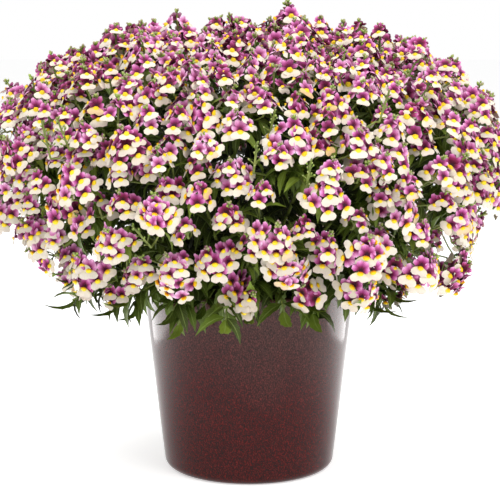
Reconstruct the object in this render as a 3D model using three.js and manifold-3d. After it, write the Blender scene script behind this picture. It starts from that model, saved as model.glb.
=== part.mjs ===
// A nemesia in full bloom in a glazed stoneware pot. Millimetres, +Z up. The origin is the middle of
// the pot's foot, on the ground. The pot and the soil are turned solids. The plant is made of
// flowering sprays, which fan out from the soil to a broad dome of flower heads, and of leafy shoots,
// which lean out over the rim. Each spray and each shoot is one body and stands in its own hole.
import * as THREE from "three";
import { mergeVertices } from "three/addons/utils/BufferGeometryUtils.js";
import Module from "manifold-3d";

const wasm = await Module();
wasm.setup();

// Pot
const POT_HEIGHT = 190;
const POT_FOOT_RADIUS = 85.5; // of the wall, carried down to the ground
const POT_SLOPE = 23; // how much wider the wall is at the rim, in proportion to the height
const POT_FLARE = -1.5; // and as the square of it: below 0, the wall is a little rounded
const POT_WALL = 7;
const POT_FLOOR = 12;
const POT_CORNER = 9; // radius of the turn from the wall into the foot
const POT_FOOT_RECESS = 3;
const POT_FOOT_RING = 14; // width of the ring that the pot stands on
const POT_DRAIN_RADIUS = 9;
const POT_INNER_CORNER = 4; // how far the floor's edge keeps inside the wall
const POT_SIDES = 28;

// Soil
const SOIL_LEVEL = 171; // where the shoots stand
const SOIL_MOUND = 6; // how much higher it is in the middle
const SOIL_SIDES = 20;
const SEAT_GAP = 0.3; // between a piece and what it rests in
const HOLE_DEPTH = 16;
const HOLE_EASE = 0.7; // how much wider a hole is than its stem, corner to corner
const STEM_RISE = 8; // of the upright stretch above the soil

// Outline that the flower heads' centres lie on: a rounded dome, wider than it is high
const DOME_CENTRE = 310;
const DOME_RADIUS = 244;
const DOME_DEPTH_SHARE = 0.955; // front to back against side to side
const DOME_RISE = 127;
const DOME_DROP = 142;
const DOME_POWER = 2.35; // 2 is an ellipse, more is squarer
const DOME_LOWEST = 198; // no head's place is lower than this

// Flower heads
const HEADS = 130;
const HEAD_RADIUS = 26;
const HEAD_FLORETS = 5;
const HEAD_CLEARANCE = 0.52; // a head's reach against the distance to the nearest other
const HEAD_SUNK = 15; // how far a head may sink into the dome
const HEAD_PROUD = 7; // how far it may stand out of it
const HEAD_LONG = 13; // how far the few that overtop the rest stand out
const HEAD_LONG_EVERY = 8;
const HEAD_UPTURN = 0.5; // how far the heads turn up from the dome's own normal
const HEAD_STRAY = 0.35;

// A flower head in its own frame, in shares of its reach: florets in a ring, each with a broad
// two-cornered lip that hangs outwards and upper petals that stand up, round a cup of buds. A
// half turn is half of a lip's width, in florets.
const FOOT_HEIGHT = -0.55;
const LIP = { reach: 1, height: -0.02, halfTurn: 0.3, notch: 0.66, notchHeight: 0.05 };
const THROAT = { reach: 0.5, height: 0.2 };
const CROWN = { reach: 0.52, height: 0.5, notch: 0.3, notchHeight: 0.32 };
const BUDS_HEIGHT = 0.2;

// Sprays
const SPRAYS = 36;
const SPRAY_RADIUS = 78; // of the circle in the soil that the sprays rise from
const SPRAY_TURN = 0.4; // of their spiral against the heads'
const SPRAY_STEM = 2.9;
const BRANCH_STEM = 1.3;
const STEM_SIDES = 3;
const FORK_DEPTH = 34; // of the fork below the stalks' ends
const FORK_SPREAD = 0.9; // share of the stretch above the fork along which the branches start
const KNEE_SHARE = 0.35; // where a stem bends, from the soil to the fork
const KNEE_ARCH = 26; // how much the outermost stems arch up over the rim
const SPRAY_LEAF_BELOW = 8; // of a spray's leaves below its fork
const SPRAY_LEAF_LEAN = 0.9; // of a leaf from its stem, in radians

// Shoots
const SHOOTS = 14;
const SHOOT_RADIUS = 92; // of the ring in the soil that the shoots rise from
const SHOOT_STEM = 2.4;
const SHOOT_ARCH = 12; // above the rim
const SHOOT_REACH = 56;
const SHOOT_DROP = 12; // of the tip below the rim
const SHOOT_STRAY = 10; // by how much reach and drop differ from one to the next
const SHOOT_CLEARANCE = 3;
const SHOOT_TURNS = [0, 0.12, -0.12, 0.24, -0.24, 0.36, -0.36]; // share of the space between two
const SHOOT_PAIRS = [0.7, 1.62]; // places of the leaf pairs, in stretches from the rim
const SHOOT_TIP = 1.88;
const SHOOT_LEAF_LEAN = 0.85;

// Leaves: lanceolate, toothed, thickest on the rib. The edge is in shares of length and half width.
const LEAF_LENGTH = 42;
const LEAF_WIDTH = 12;
const LEAF_RIB = 2.2;
const LEAF_CROWN = 0.34; // where along it a leaf is thickest
const LEAF_ARCH = 3;
const LEAF_DROOP = 7;
const LEAF_EDGE = [
  [0.28, 0.95],
  [0.36, 0.72],
  [0.58, 0.86],
  [0.66, 0.5],
];
const LEAF_LENGTHS = [1, 0.8, 0.65];
const LEAF_TURNS = [0, 0.4, -0.4, 0.8, -0.8, 1.2, -1.2];

const GOLDEN_ANGLE = Math.PI * (3 - Math.sqrt(5));
const UP = new THREE.Vector3(0, 0, 1);

// A repeatable source of numbers from 0 to 1
function randomFrom(seed) {
  let state = seed >>> 0;
  return () => {
    state = (state + 0x6d2b79f5) >>> 0;
    let mixed = Math.imul(state ^ (state >>> 15), state | 1);
    mixed = (mixed + Math.imul(mixed ^ (mixed >>> 7), mixed | 61)) ^ mixed;
    return ((mixed ^ (mixed >>> 14)) >>> 0) / 4294967296;
  };
}

// Solids

// A closed geometry as a solid that can be joined and cut
function solidOf(geometry) {
  const bare = geometry.clone();
  bare.deleteAttribute("normal");
  bare.deleteAttribute("uv");
  const merged = mergeVertices(bare, 1e-4);
  return new wasm.Manifold(
    new wasm.Mesh({
      numProp: 3,
      vertProperties: new Float32Array(merged.attributes.position.array),
      triVerts: new Uint32Array(merged.index.array),
    }),
  );
}

// A solid as a named mesh
function meshOf(name, solid, material) {
  const { numProp, vertProperties, triVerts } = solid.getMesh();
  const positions = new Float32Array((vertProperties.length / numProp) * 3);
  for (let i = 0; i < positions.length / 3; i++) {
    positions.set(vertProperties.subarray(i * numProp, i * numProp + 3), i * 3);
  }
  const geometry = new THREE.BufferGeometry();
  geometry.setAttribute("position", new THREE.BufferAttribute(positions, 3));
  geometry.setIndex(new THREE.BufferAttribute(new Uint32Array(triVerts), 1));
  geometry.computeVertexNormals();
  const mesh = new THREE.Mesh(geometry, material);
  mesh.name = name;
  return mesh;
}

const unite = (solids) => wasm.Manifold.union(solids);

// Whether a solid keeps its distance from every other one
function clearOf(solid, others, distance) {
  const { min, max } = solid.boundingBox();
  return others.every((other) => {
    const box = other.boundingBox();
    const apart = min.some((low, i) => low > box.max[i] + distance || max[i] < box.min[i] - distance);
    return apart || solid.minGap(other, distance) >= distance;
  });
}

const middleOf = (points) =>
  points.reduce((sum, point) => sum.add(point), new THREE.Vector3()).divideScalar(points.length);

// The direction that a ring of points turns about counter-clockwise
function axisOf(ring) {
  const sum = new THREE.Vector3();
  ring.forEach((point, i) => sum.add(point.clone().cross(ring[(i + 1) % ring.length])));
  return sum.normalize();
}

// How far round an axis each point of a ring stands from a reference, and the first one once more
function turnsOf(ring, axis, reference) {
  const middle = middleOf(ring);
  const side = axis.clone().cross(reference);
  const turns = ring.map((point) => {
    const spoke = point.clone().sub(middle);
    return Math.atan2(spoke.dot(side) / side.length(), spoke.dot(reference) / reference.length());
  });
  const whole = 2 * Math.PI;
  const along = [turns[0]];
  for (let i = 1; i < ring.length; i++) {
    along.push(along[i - 1] + ((turns[i] - turns[i - 1] + 2 * whole) % whole));
  }
  return [...along, turns[0] + whole];
}

// The faces between a pole and a ring, whose points start at an index
function fan(pole, first, count, poleBelow) {
  return Array.from({ length: count }, (_, i) => {
    const next = (i + 1) % count;
    return poleBelow ? [pole, first + next, first + i] : [first + i, first + next, pole];
  }).flat();
}

// The faces between two rings, each step round going along the ring whose next side comes first
function band(below, above, firstBelow, firstAbove, axis, reference) {
  const turnsBelow = turnsOf(below, axis, reference);
  const turnsAbove = turnsOf(above, axis, reference);
  const sideTurn = (turns, i) => (i + 1 < turns.length ? turns[i] + turns[i + 1] : Infinity);
  const faces = [];
  let a = 0;
  let b = 0;
  while (a < below.length || b < above.length) {
    const here = [firstBelow + (a % below.length), firstAbove + (b % above.length)];
    if (sideTurn(turnsBelow, a) <= sideTurn(turnsAbove, b)) {
      a++;
      faces.push(here[0], firstBelow + (a % below.length), here[1]);
    } else {
      b++;
      faces.push(here[0], firstAbove + (b % above.length), here[1]);
    }
  }
  return faces;
}

// A closed solid through rings of points, each counter-clockwise as seen from the last one's side.
// Neighbouring rings may have different numbers of points. A ring of one point is a pole, and a
// first ring of more is closed by a flat cap.
function loft(rings) {
  const points = [...rings[0]];
  const faces = [];
  for (let i = 1; i + 1 < points.length; i++) faces.push(0, i + 1, i);
  let below = rings[0];
  let firstBelow = 0;
  for (const ring of rings.slice(1)) {
    const firstAbove = points.length;
    let above = ring;
    if (below.length === 1) {
      faces.push(...fan(firstBelow, firstAbove, ring.length, true));
    } else if (ring.length === 1) {
      faces.push(...fan(firstAbove, firstBelow, below.length, false));
    } else {
      const axis = axisOf(below).add(axisOf(ring));
      const spoke = below[0].clone().sub(middleOf(below));
      const reference = spoke.addScaledVector(axis, -spoke.dot(axis) / axis.lengthSq());
      const nearness = turnsOf(ring, axis, reference).slice(0, -1).map(Math.cos);
      const start = nearness.indexOf(Math.max(...nearness));
      above = [...ring.slice(start), ...ring.slice(0, start)];
      faces.push(...band(below, above, firstBelow, firstAbove, axis, reference));
    }
    points.push(...above);
    below = above;
    firstBelow = firstAbove;
  }
  const geometry = new THREE.BufferGeometry().setFromPoints(points);
  geometry.setIndex(faces);
  return solidOf(geometry);
}

// A ring of a stem: its corners round a point, square to a direction
function stemRing(centre, direction, radius) {
  const square = new THREE.Quaternion().setFromUnitVectors(UP, direction);
  return Array.from({ length: STEM_SIDES }, (_, i) => {
    const angle = (i / STEM_SIDES) * 2 * Math.PI;
    return new THREE.Vector3(radius * Math.cos(angle), radius * Math.sin(angle), 0)
      .applyQuaternion(square)
      .add(centre);
  });
}

// The rings of a stem at each point of a path but its last, mitred where it bends
function stemRings(path, radius) {
  return path.slice(0, -1).map((point, i) => {
    const into = point.clone().sub(path[Math.max(i - 1, 0)]).normalize();
    const outOf = path[i + 1].clone().sub(point).normalize();
    return stemRing(point, into.add(outOf).normalize(), radius);
  });
}

// Pot and soil

function wallRadius(height) {
  const share = height / POT_HEIGHT;
  return POT_FOOT_RADIUS + POT_SLOPE * share + POT_FLARE * share * share;
}

// A profile of [radius, height] points turned round the pot's axis
function turned(profile, sides) {
  const points = profile.map(([radius, height]) => new THREE.Vector2(radius, height));
  return solidOf(new THREE.LatheGeometry(points, sides).rotateX(Math.PI / 2));
}

function potSolid() {
  const corner = [0, 0.5, 1].map((share) => {
    const angle = (share * Math.PI) / 2;
    const radius = wallRadius(POT_CORNER) - POT_CORNER * (1 - Math.sin(angle));
    return [radius, POT_CORNER * (1 - Math.cos(angle))];
  });
  const wall = [0.4, 0.75].map((share) => [wallRadius(share * POT_HEIGHT), share * POT_HEIGHT]);
  const rim = wallRadius(POT_HEIGHT);
  const footInner = corner[0][0] - POT_FOOT_RING;
  return turned(
    [
      [POT_DRAIN_RADIUS, POT_FOOT_RECESS],
      [footInner - POT_FOOT_RECESS, POT_FOOT_RECESS],
      [footInner, 0],
      ...corner,
      ...wall,
      [rim - 1, POT_HEIGHT - 2],
      [rim - POT_WALL / 2, POT_HEIGHT],
      [rim - POT_WALL, POT_HEIGHT - 3],
      [wallRadius(SOIL_LEVEL) - POT_WALL, SOIL_LEVEL],
      [wallRadius(POT_FLOOR) - POT_WALL - POT_INNER_CORNER, POT_FLOOR],
      [POT_DRAIN_RADIUS, POT_FLOOR],
      [POT_DRAIN_RADIUS, POT_FOOT_RECESS],
    ],
    POT_SIDES,
  );
}

const soilHeight = (radius) => SOIL_LEVEL + SOIL_MOUND * (1 - (radius / SHOOT_RADIUS) ** 2);

// The soil fills the pot to just under the rim, with a plain hole for each stem. It keeps inside
// the flats of the pot's many-sided wall.
function soilSolid(stems) {
  const flat = Math.cos(Math.PI / POT_SIDES);
  const floor = POT_FLOOR + SEAT_GAP;
  const foot = (wallRadius(POT_FLOOR) - POT_WALL - POT_INNER_CORNER) * flat - 2 * SEAT_GAP;
  const brim = (wallRadius(SOIL_LEVEL) - POT_WALL) * flat - 2 * SEAT_GAP;
  const shoulder = 0.6 * brim;
  const body = turned(
    [
      [0, floor],
      [foot, floor],
      [brim, SOIL_LEVEL - 1],
      [shoulder, soilHeight(shoulder)],
      [0, soilHeight(0)],
    ],
    SOIL_SIDES,
  );
  const holes = stems.map(([foot, radius]) => {
    const heights = [SOIL_LEVEL - HOLE_DEPTH, POT_HEIGHT];
    const ends = heights.map((height) => stemRing(foot.clone().setZ(height), UP, radius + HOLE_EASE));
    return loft([...ends, [foot.clone().setZ(POT_HEIGHT + 1)]]);
  });
  return body.subtract(unite(holes));
}

// Dome

// Radius and height at a polar angle from the top
function domePoint(polar) {
  const across = Math.sin(polar);
  const along = Math.cos(polar);
  const rise = along > 0 ? DOME_RISE : DOME_DROP;
  const terms = (across / DOME_RADIUS) ** DOME_POWER + (Math.abs(along) / rise) ** DOME_POWER;
  const reach = terms ** (-1 / DOME_POWER);
  return [reach * across, DOME_CENTRE + reach * along];
}

// Polar angles that share the dome's surface evenly, from the top to its lowest heads
function evenPolars(count) {
  const steps = 400;
  const table = [[0, 0]];
  let area = 0;
  let [lastRadius, lastHeight] = domePoint(0);
  for (let step = 1; step <= steps; step++) {
    const polar = (step / steps) * Math.PI;
    const [radius, height] = domePoint(polar);
    if (height < DOME_LOWEST) break;
    area += ((radius + lastRadius) / 2) * Math.hypot(radius - lastRadius, height - lastHeight);
    table.push([area, polar]);
    [lastRadius, lastHeight] = [radius, height];
  }
  let row = 1;
  return Array.from({ length: count }, (_, i) => {
    const target = ((i + 0.5) / count) * area;
    while (table[row][0] < target) row++;
    const [areaBelow, polarBelow] = table[row - 1];
    const [areaAbove, polarAbove] = table[row];
    return polarBelow + ((target - areaBelow) / (areaAbove - areaBelow)) * (polarAbove - polarBelow);
  });
}

// The place and the outward normal at a polar angle and a turn round the axis
function onDome(polar, turn) {
  const [radius, height] = domePoint(polar);
  const [radiusOn, heightOn] = domePoint(polar + 0.01);
  const squash = new THREE.Vector3(1, DOME_DEPTH_SHARE, 1);
  const point = new THREE.Vector3(radius, 0, height).applyAxisAngle(UP, turn).multiply(squash);
  const normal = new THREE.Vector3(height - heightOn, 0, radiusOn - radius).applyAxisAngle(UP, turn);
  return { point, normal: normal.divide(squash).normalize() };
}

// Flower heads

// Where each flower head sits, which way it faces and how far it reaches
function headPlaces() {
  const random = randomFrom(7);
  const heads = evenPolars(HEADS).map((polar, i) => {
    const { point, normal } = onDome(polar, i * GOLDEN_ANGLE + (random() - 0.5) * 0.05);
    const lift = random() * (HEAD_SUNK + HEAD_PROUD) - HEAD_SUNK;
    const long = i % HEAD_LONG_EVERY === 3 ? HEAD_LONG : lift;
    const stray = new THREE.Vector3(random() - 0.5, random() - 0.5, random() - 0.5);
    return {
      point: point.addScaledVector(normal, Math.max(lift, long)),
      facing: normal.addScaledVector(UP, HEAD_UPTURN).addScaledVector(stray, HEAD_STRAY).normalize(),
      spin: random() * 2 * Math.PI,
      radius: HEAD_RADIUS * (0.9 + 0.2 * random()),
    };
  });
  const middle = new THREE.Box3().setFromPoints(heads.map((head) => head.point));
  const shift = middle.getCenter(new THREE.Vector3()).setZ(0);
  for (const head of heads) head.point.sub(shift);
  for (const head of heads) {
    const others = heads.filter((other) => other !== head);
    const nearest = Math.min(...others.map((other) => other.point.distanceTo(head.point)));
    head.radius = Math.min(head.radius, HEAD_CLEARANCE * nearest);
  }
  return heads;
}

const headFoot = (head) => head.point.clone().addScaledVector(head.facing, FOOT_HEIGHT * head.radius);

// The rings of a flower head from its lips to its buds
function headRings(head) {
  const spin = new THREE.Quaternion().setFromAxisAngle(UP, head.spin);
  const turn = new THREE.Quaternion().setFromUnitVectors(UP, head.facing).multiply(spin);
  const at = (reach, step, height) => {
    const angle = (step / HEAD_FLORETS) * 2 * Math.PI;
    return new THREE.Vector3(reach * Math.cos(angle), reach * Math.sin(angle), height)
      .multiplyScalar(head.radius)
      .applyQuaternion(turn)
      .add(head.point);
  };
  const florets = Array.from({ length: HEAD_FLORETS }, (_, i) => i);
  const lips = florets.flatMap((i) => [
    at(LIP.reach, i - LIP.halfTurn, LIP.height),
    at(LIP.reach, i + LIP.halfTurn, LIP.height),
    at(LIP.notch, i + 0.5, LIP.notchHeight),
  ]);
  const throats = florets.map((i) => at(THROAT.reach, i, THROAT.height));
  const crown = florets.flatMap((i) => [
    at(CROWN.reach, i, CROWN.height),
    at(CROWN.notch, i + 0.5, CROWN.notchHeight),
  ]);
  return [lips, throats, crown, [at(0, 0, BUDS_HEIGHT)]];
}

// A stem along a path that ends in a flower head
function floweringStem(path, radius, head) {
  const end = headFoot(head);
  const foot = stemRing(end, head.facing, radius);
  return loft([...stemRings([...path, end], radius), foot, ...headRings(head)]);
}

// Leaves

// A leaf from a point in a stem, along a direction, with its upper face towards a side
function leaf(root, along, face, length) {
  const axis = along.clone().normalize();
  const normal = face.clone().addScaledVector(axis, -face.dot(axis)).normalize();
  const across = normal.clone().cross(axis);
  const at = (share, side, lift) => {
    const bend = LEAF_ARCH * 4 * share * (1 - share) - LEAF_DROOP * share * share;
    return root
      .clone()
      .addScaledVector(axis, share * length)
      .addScaledVector(across, (side * LEAF_WIDTH) / 2)
      .addScaledVector(normal, bend + lift);
  };
  const right = LEAF_EDGE.map(([share, side]) => at(share, -side, 0));
  const left = LEAF_EDGE.map(([share, side]) => at(share, side, 0)).reverse();
  const outline = [at(0, 0, 0), ...right, at(1, 0, 0), ...left];
  return loft([[at(LEAF_CROWN, 0, -LEAF_RIB / 2)], outline, [at(LEAF_CROWN, 0, LEAF_RIB / 2)]]);
}

// A leaf that grows from a stem on one side of it: the first of several lengths and of several
// turns round the stem that keeps it clear of the rest of the plant. Null where none does.
function grownLeaf(root, axis, side, lean, face, others) {
  for (const share of LEAF_LENGTHS) {
    for (const turn of LEAF_TURNS) {
      const along = side.clone().applyAxisAngle(axis, turn).multiplyScalar(Math.sin(lean));
      along.addScaledVector(axis, Math.cos(lean));
      const blade = leaf(root, along, face, share * LEAF_LENGTH);
      if (clearOf(blade, others, 1.5 * SEAT_GAP)) return blade;
    }
  }
  return null;
}

// The upright start of a stem in its hole
function stemStart(foot) {
  const bottom = foot.clone().setZ(SOIL_LEVEL - HOLE_DEPTH + SEAT_GAP);
  const top = foot.clone().setZ(soilHeight(foot.length()) + STEM_RISE);
  return [bottom, top];
}

// Sprays

// Where each spray rises from the soil, and which heads it carries: those nearest to its own
// place on the dome. The feet wind as the places do, so the sprays fan out and don't cross.
function sprayPlaces(heads) {
  const sprays = evenPolars(SPRAYS).map((polar, i) => {
    const turn = i * GOLDEN_ANGLE + SPRAY_TURN;
    const radius = SPRAY_RADIUS * Math.sqrt((i + 0.5) / SPRAYS);
    const foot = new THREE.Vector3(radius * Math.cos(turn), radius * Math.sin(turn), 0);
    return { ...onDome(polar, turn), foot, arch: (KNEE_ARCH * i) / SPRAYS, heads: [] };
  });
  for (const head of heads) {
    const nearest = sprays.reduce((best, spray) =>
      spray.point.distanceTo(head.point) < best.point.distanceTo(head.point) ? spray : best,
    );
    nearest.heads.push(head);
  }
  return sprays;
}

// A stem to the middle one of a spray's heads, with a branch to each of the others
function sprayStem(spray) {
  const middle = middleOf(spray.heads.map(headFoot));
  const fork = middle.clone().addScaledVector(spray.normal, -FORK_DEPTH);
  const [bottom, top] = stemStart(spray.foot);
  const knee = top.clone().lerp(fork, KNEE_SHARE);
  knee.z += spray.arch;
  const [first, ...rest] = [...spray.heads].sort(
    (one, other) => one.point.distanceTo(middle) - other.point.distanceTo(middle),
  );
  const branches = rest.map((head, i) => {
    const share = (FORK_SPREAD * i) / spray.heads.length;
    return floweringStem([fork.clone().lerp(headFoot(first), share)], BRANCH_STEM, head);
  });
  const stem = floweringStem([bottom, top, knee, fork], SPRAY_STEM, first);
  return { solid: unite([stem, ...branches]), knee, fork };
}

// A pair of opposite leaves below a spray's fork
function sprayLeaves(spray, { knee, fork }, others) {
  const axis = fork.clone().sub(knee).normalize();
  const side = spray.normal.clone().cross(axis);
  if (side.length() < 0.1) side.set(1, 0, 0).cross(axis);
  const root = fork.clone().addScaledVector(axis, -SPRAY_LEAF_BELOW);
  return [-1, 1].map((hand) => {
    const towards = side.clone().setLength(hand);
    return grownLeaf(root, axis, towards, SPRAY_LEAF_LEAN, spray.normal, others);
  });
}

// Shoots

// The path of a shoot that rises by the wall, leans over the rim and hangs outwards
function shootPath(turn, reach, drop) {
  const at = (radius, height) =>
    new THREE.Vector3(radius * Math.cos(turn), radius * Math.sin(turn), height);
  return [
    ...stemStart(at(SHOOT_RADIUS, 0)),
    at(SHOOT_RADIUS + SHOOT_ARCH, POT_HEIGHT + SHOOT_ARCH),
    at(SHOOT_RADIUS + reach / 2, POT_HEIGHT + SHOOT_ARCH),
    at(SHOOT_RADIUS + reach, POT_HEIGHT - drop),
  ];
}

// The shoots' stems round the rim, each turned a little where a spray is in its way
function shootStems(sprayStems) {
  const random = randomFrom(19);
  const shoots = [];
  for (let i = 0; i < SHOOTS; i++) {
    const reach = SHOOT_REACH + SHOOT_STRAY * (2 * random() - 1);
    const drop = SHOOT_DROP + SHOOT_STRAY * (2 * random() - 1);
    for (const stray of SHOOT_TURNS) {
      const path = shootPath(((i + 0.5 + stray) / SHOOTS) * 2 * Math.PI, reach, drop);
      const solid = loft([...stemRings(path, SHOOT_STEM), path.slice(-1)]);
      if (clearOf(solid, [...sprayStems, ...shoots].map((stem) => stem.solid), SHOOT_CLEARANCE)) {
        shoots.push({ path, solid });
        break;
      }
    }
  }
  return shoots;
}

// Opposite leaves along the hanging stretch of a shoot, and one at its tip
function shootLeaves({ path }, others) {
  const [, , rim, bend, tip] = path;
  const place = (stretch) =>
    stretch < 1 ? rim.clone().lerp(bend, stretch) : bend.clone().lerp(tip, stretch - 1);
  const axis = tip.clone().sub(bend).normalize();
  const side = axis.clone().cross(UP).normalize();
  const pairs = SHOOT_PAIRS.flatMap((stretch) =>
    [-1, 1].map((hand) => {
      const towards = side.clone().multiplyScalar(hand);
      return grownLeaf(place(stretch), axis, towards, SHOOT_LEAF_LEAN, UP, others);
    }),
  );
  return [...pairs, grownLeaf(place(SHOOT_TIP), axis, side, 0, UP, others)];
}

// Materials and the whole plant

const glaze = new THREE.MeshStandardMaterial({ color: 0x4a1c1e, roughness: 0.15 });
const compost = new THREE.MeshStandardMaterial({ color: 0x2a1e16, roughness: 1 });
const petals = new THREE.MeshStandardMaterial({ color: 0xc87fc0, roughness: 0.6 });
const foliage = new THREE.MeshStandardMaterial({ color: 0x4f7d33, roughness: 0.6 });

const sprays = sprayPlaces(headPlaces());
const sprayStems = sprays.map(sprayStem);
const shoots = shootStems(sprayStems);
const pieces = [
  { name: "pot", solid: potSolid(), material: glaze },
  {
    name: "soil",
    solid: soilSolid([
      ...sprays.map((spray) => [spray.foot, SPRAY_STEM]),
      ...shoots.map((shoot) => [shoot.path[0], SHOOT_STEM]),
    ]),
    material: compost,
  },
];
const number = (i) => String(i + 1).padStart(2, "0");
sprayStems.forEach((stem, i) => {
  const leaves = (others) => sprayLeaves(sprays[i], stem, others);
  pieces.push({ name: `spray_${number(i)}`, solid: stem.solid, material: petals, leaves });
});
shoots.forEach((shoot, i) => {
  const leaves = (others) => shootLeaves(shoot, others);
  pieces.push({ name: `shoot_${number(i)}`, solid: shoot.solid, material: foliage, leaves });
});
for (const piece of pieces.filter(({ leaves }) => leaves)) {
  const others = pieces.filter((other) => other !== piece).map((other) => other.solid);
  piece.solid = unite([piece.solid, ...piece.leaves(others).filter((blade) => blade)]);
}

const plant = new THREE.Group();
for (const { name, solid, material } of pieces) plant.add(meshOf(name, solid, material));
export default plant;
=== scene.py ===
"""A nemesia in full bloom in a glazed stoneware pot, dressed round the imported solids.

Metres, +Z up, the origin in the middle of the pot's foot on the ground. The flower heads and the
stems stand where the solids have them: the layout rule and its numbers are the same. Between
them come smaller heads, the leaves along the stems and the undergrowth that closes the plant.
"""

import logging
import math
from dataclasses import dataclass, field
from enum import Enum, IntEnum
from functools import partial
from typing import Callable, Iterable, Sequence

import bmesh
import bpy
from bmesh.types import BMEdge, BMesh, BMFace, BMVert
from bpy.types import Material, Mesh, Node, NodeSocket, NodeTree, Object
from mathutils import Matrix, Vector, geometry, noise


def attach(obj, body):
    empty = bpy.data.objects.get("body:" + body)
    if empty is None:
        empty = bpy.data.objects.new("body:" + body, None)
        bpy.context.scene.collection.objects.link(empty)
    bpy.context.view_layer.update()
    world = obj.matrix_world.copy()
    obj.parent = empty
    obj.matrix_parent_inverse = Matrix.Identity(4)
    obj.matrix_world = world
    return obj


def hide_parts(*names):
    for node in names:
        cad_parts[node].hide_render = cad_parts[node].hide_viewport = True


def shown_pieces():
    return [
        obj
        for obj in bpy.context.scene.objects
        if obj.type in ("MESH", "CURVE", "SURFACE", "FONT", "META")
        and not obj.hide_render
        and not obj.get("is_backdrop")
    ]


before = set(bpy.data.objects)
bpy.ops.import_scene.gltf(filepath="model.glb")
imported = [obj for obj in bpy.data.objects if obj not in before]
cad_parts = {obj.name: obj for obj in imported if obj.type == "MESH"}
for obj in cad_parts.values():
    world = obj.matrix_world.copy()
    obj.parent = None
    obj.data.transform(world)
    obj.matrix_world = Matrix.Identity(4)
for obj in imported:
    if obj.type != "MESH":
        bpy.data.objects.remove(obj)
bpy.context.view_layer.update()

log = logging.getLogger("potted_nemesia")

Pair = tuple[float, float]
Stops = tuple[tuple[float, str], ...]
NodeMaker = Callable[..., Node]
Flat = Callable[[float, float], Pair]
Bend = Callable[[float, float], Vector]
LeafRule = Callable[[Vector], Pair | None]

MM = 0.001
UP = Vector((0.0, 0.0, 1.0))
FULL_TURN = 2 * math.pi
GOLDEN_ANGLE = math.pi * (3 - math.sqrt(5))
WORD = 0xFFFFFFFF
STEM_TINT = 0.5
FACE_RING = 0.6  # how far out on a blade's face its ring of corners lies

# Names of the maps and attributes that the finishes read
BLADE_MAP = "blade"  # across a petal or leaf, and along it from its root
TINT = "tint"  # one number for each floret, leaf or stem
AGE = "age"  # how far a floret has faded


# Numbers, colours and shading nodes


class Series(IntEnum):
    """The seeds of the random series. The first is the one that the solids' heads have too."""

    HEADS = 7
    SHOOTS = 19
    FILLERS = 41
    CRUMBS = 77
    UNDERGROWTH = 88
    FLORETS = 500
    SPRAYS = 1000
    SHOOT_LEAVES = 3000


class SeededRandom:
    """A repeatable source of numbers, the one that lays out the solids."""

    def __init__(self, seed: int) -> None:
        """Starts the series that a whole number names."""
        self._state = seed & WORD

    def share(self) -> float:
        """Returns the next number from 0 to 1."""
        self._state = (self._state + 0x6D2B79F5) & WORD
        state = self._state
        mixed = ((state ^ (state >> 15)) * (state | 1)) & WORD
        mixed = ((mixed + (((mixed ^ (mixed >> 7)) * (mixed | 61)) & WORD)) & WORD) ^ mixed
        return ((mixed ^ (mixed >> 14)) & WORD) / 4294967296

    def between(self, low: float, high: float) -> float:
        """Returns the next number from low to high."""
        return low + (high - low) * self.share()

    def about(self, middle: float, stray: float) -> float:
        """Returns the next number within a stray of a middle."""
        return self.between(middle - stray, middle + stray)

    def pick(self, shapes: Sequence[Mesh]) -> Mesh:
        """Returns one of several shapes."""
        return shapes[int(self.share() * len(shapes))]


def linear(colour: str) -> tuple[float, float, float, float]:
    """Turns an sRGB hex colour to the linear one that a shader takes.

    Args:
        colour: Six hex digits after a hash.

    Returns:
        Red, green, blue and alpha.
    """
    channels = []
    for start in (1, 3, 5):
        value = int(colour[start : start + 2], 16) / 255
        channels.append(value / 12.92 if value <= 0.04045 else ((value + 0.055) / 1.055) ** 2.4)
    return (*channels, 1.0)


def connect(node: Node, inputs: dict) -> None:
    """Sets and links a node's inputs.

    Args:
        node: The node.
        inputs: By input name or number, a value, a socket, or a node for its first live output.
    """
    for name, value in inputs.items():
        if isinstance(value, Node):
            value = next(socket for socket in value.outputs if socket.enabled)
        if isinstance(value, NodeSocket):
            node.id_data.links.new(value, node.inputs[name])
        else:
            node.inputs[name].default_value = value


def add_node(
    tree: NodeTree, kind: str, inputs: dict | None = None, stops: Stops = (), **settings: object
) -> Node:
    """Adds a shading node with its settings and links.

    Args:
        tree: The tree that it joins.
        kind: The node's type, without the prefix that all of them have.
        inputs: Its inputs, as connect takes them.
        stops: Places and hex colours of a colour ramp.
        **settings: Properties of the node.

    Returns:
        The new node.
    """
    node = tree.nodes.new(f"ShaderNode{kind}")
    for name, value in settings.items():
        setattr(node, name, value)
    for place, _ in stops[2:]:
        node.color_ramp.elements.new(place)
    for element, (place, colour) in zip(node.color_ramp.elements if stops else (), stops):
        element.position = place
        element.color = linear(colour)
    connect(node, inputs or {})
    return node


def new_finish(name: str) -> tuple[Material, NodeMaker, Node]:
    """Starts a material.

    Args:
        name: The real finish's name.

    Returns:
        The material, the function that adds a node to it, and its principled shader.
    """
    material = bpy.data.materials.new(name)
    material.use_nodes = True
    tree = material.node_tree
    return material, partial(add_node, tree), tree.nodes["Principled BSDF"]


# Layout of the plant, as in the solids


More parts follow.
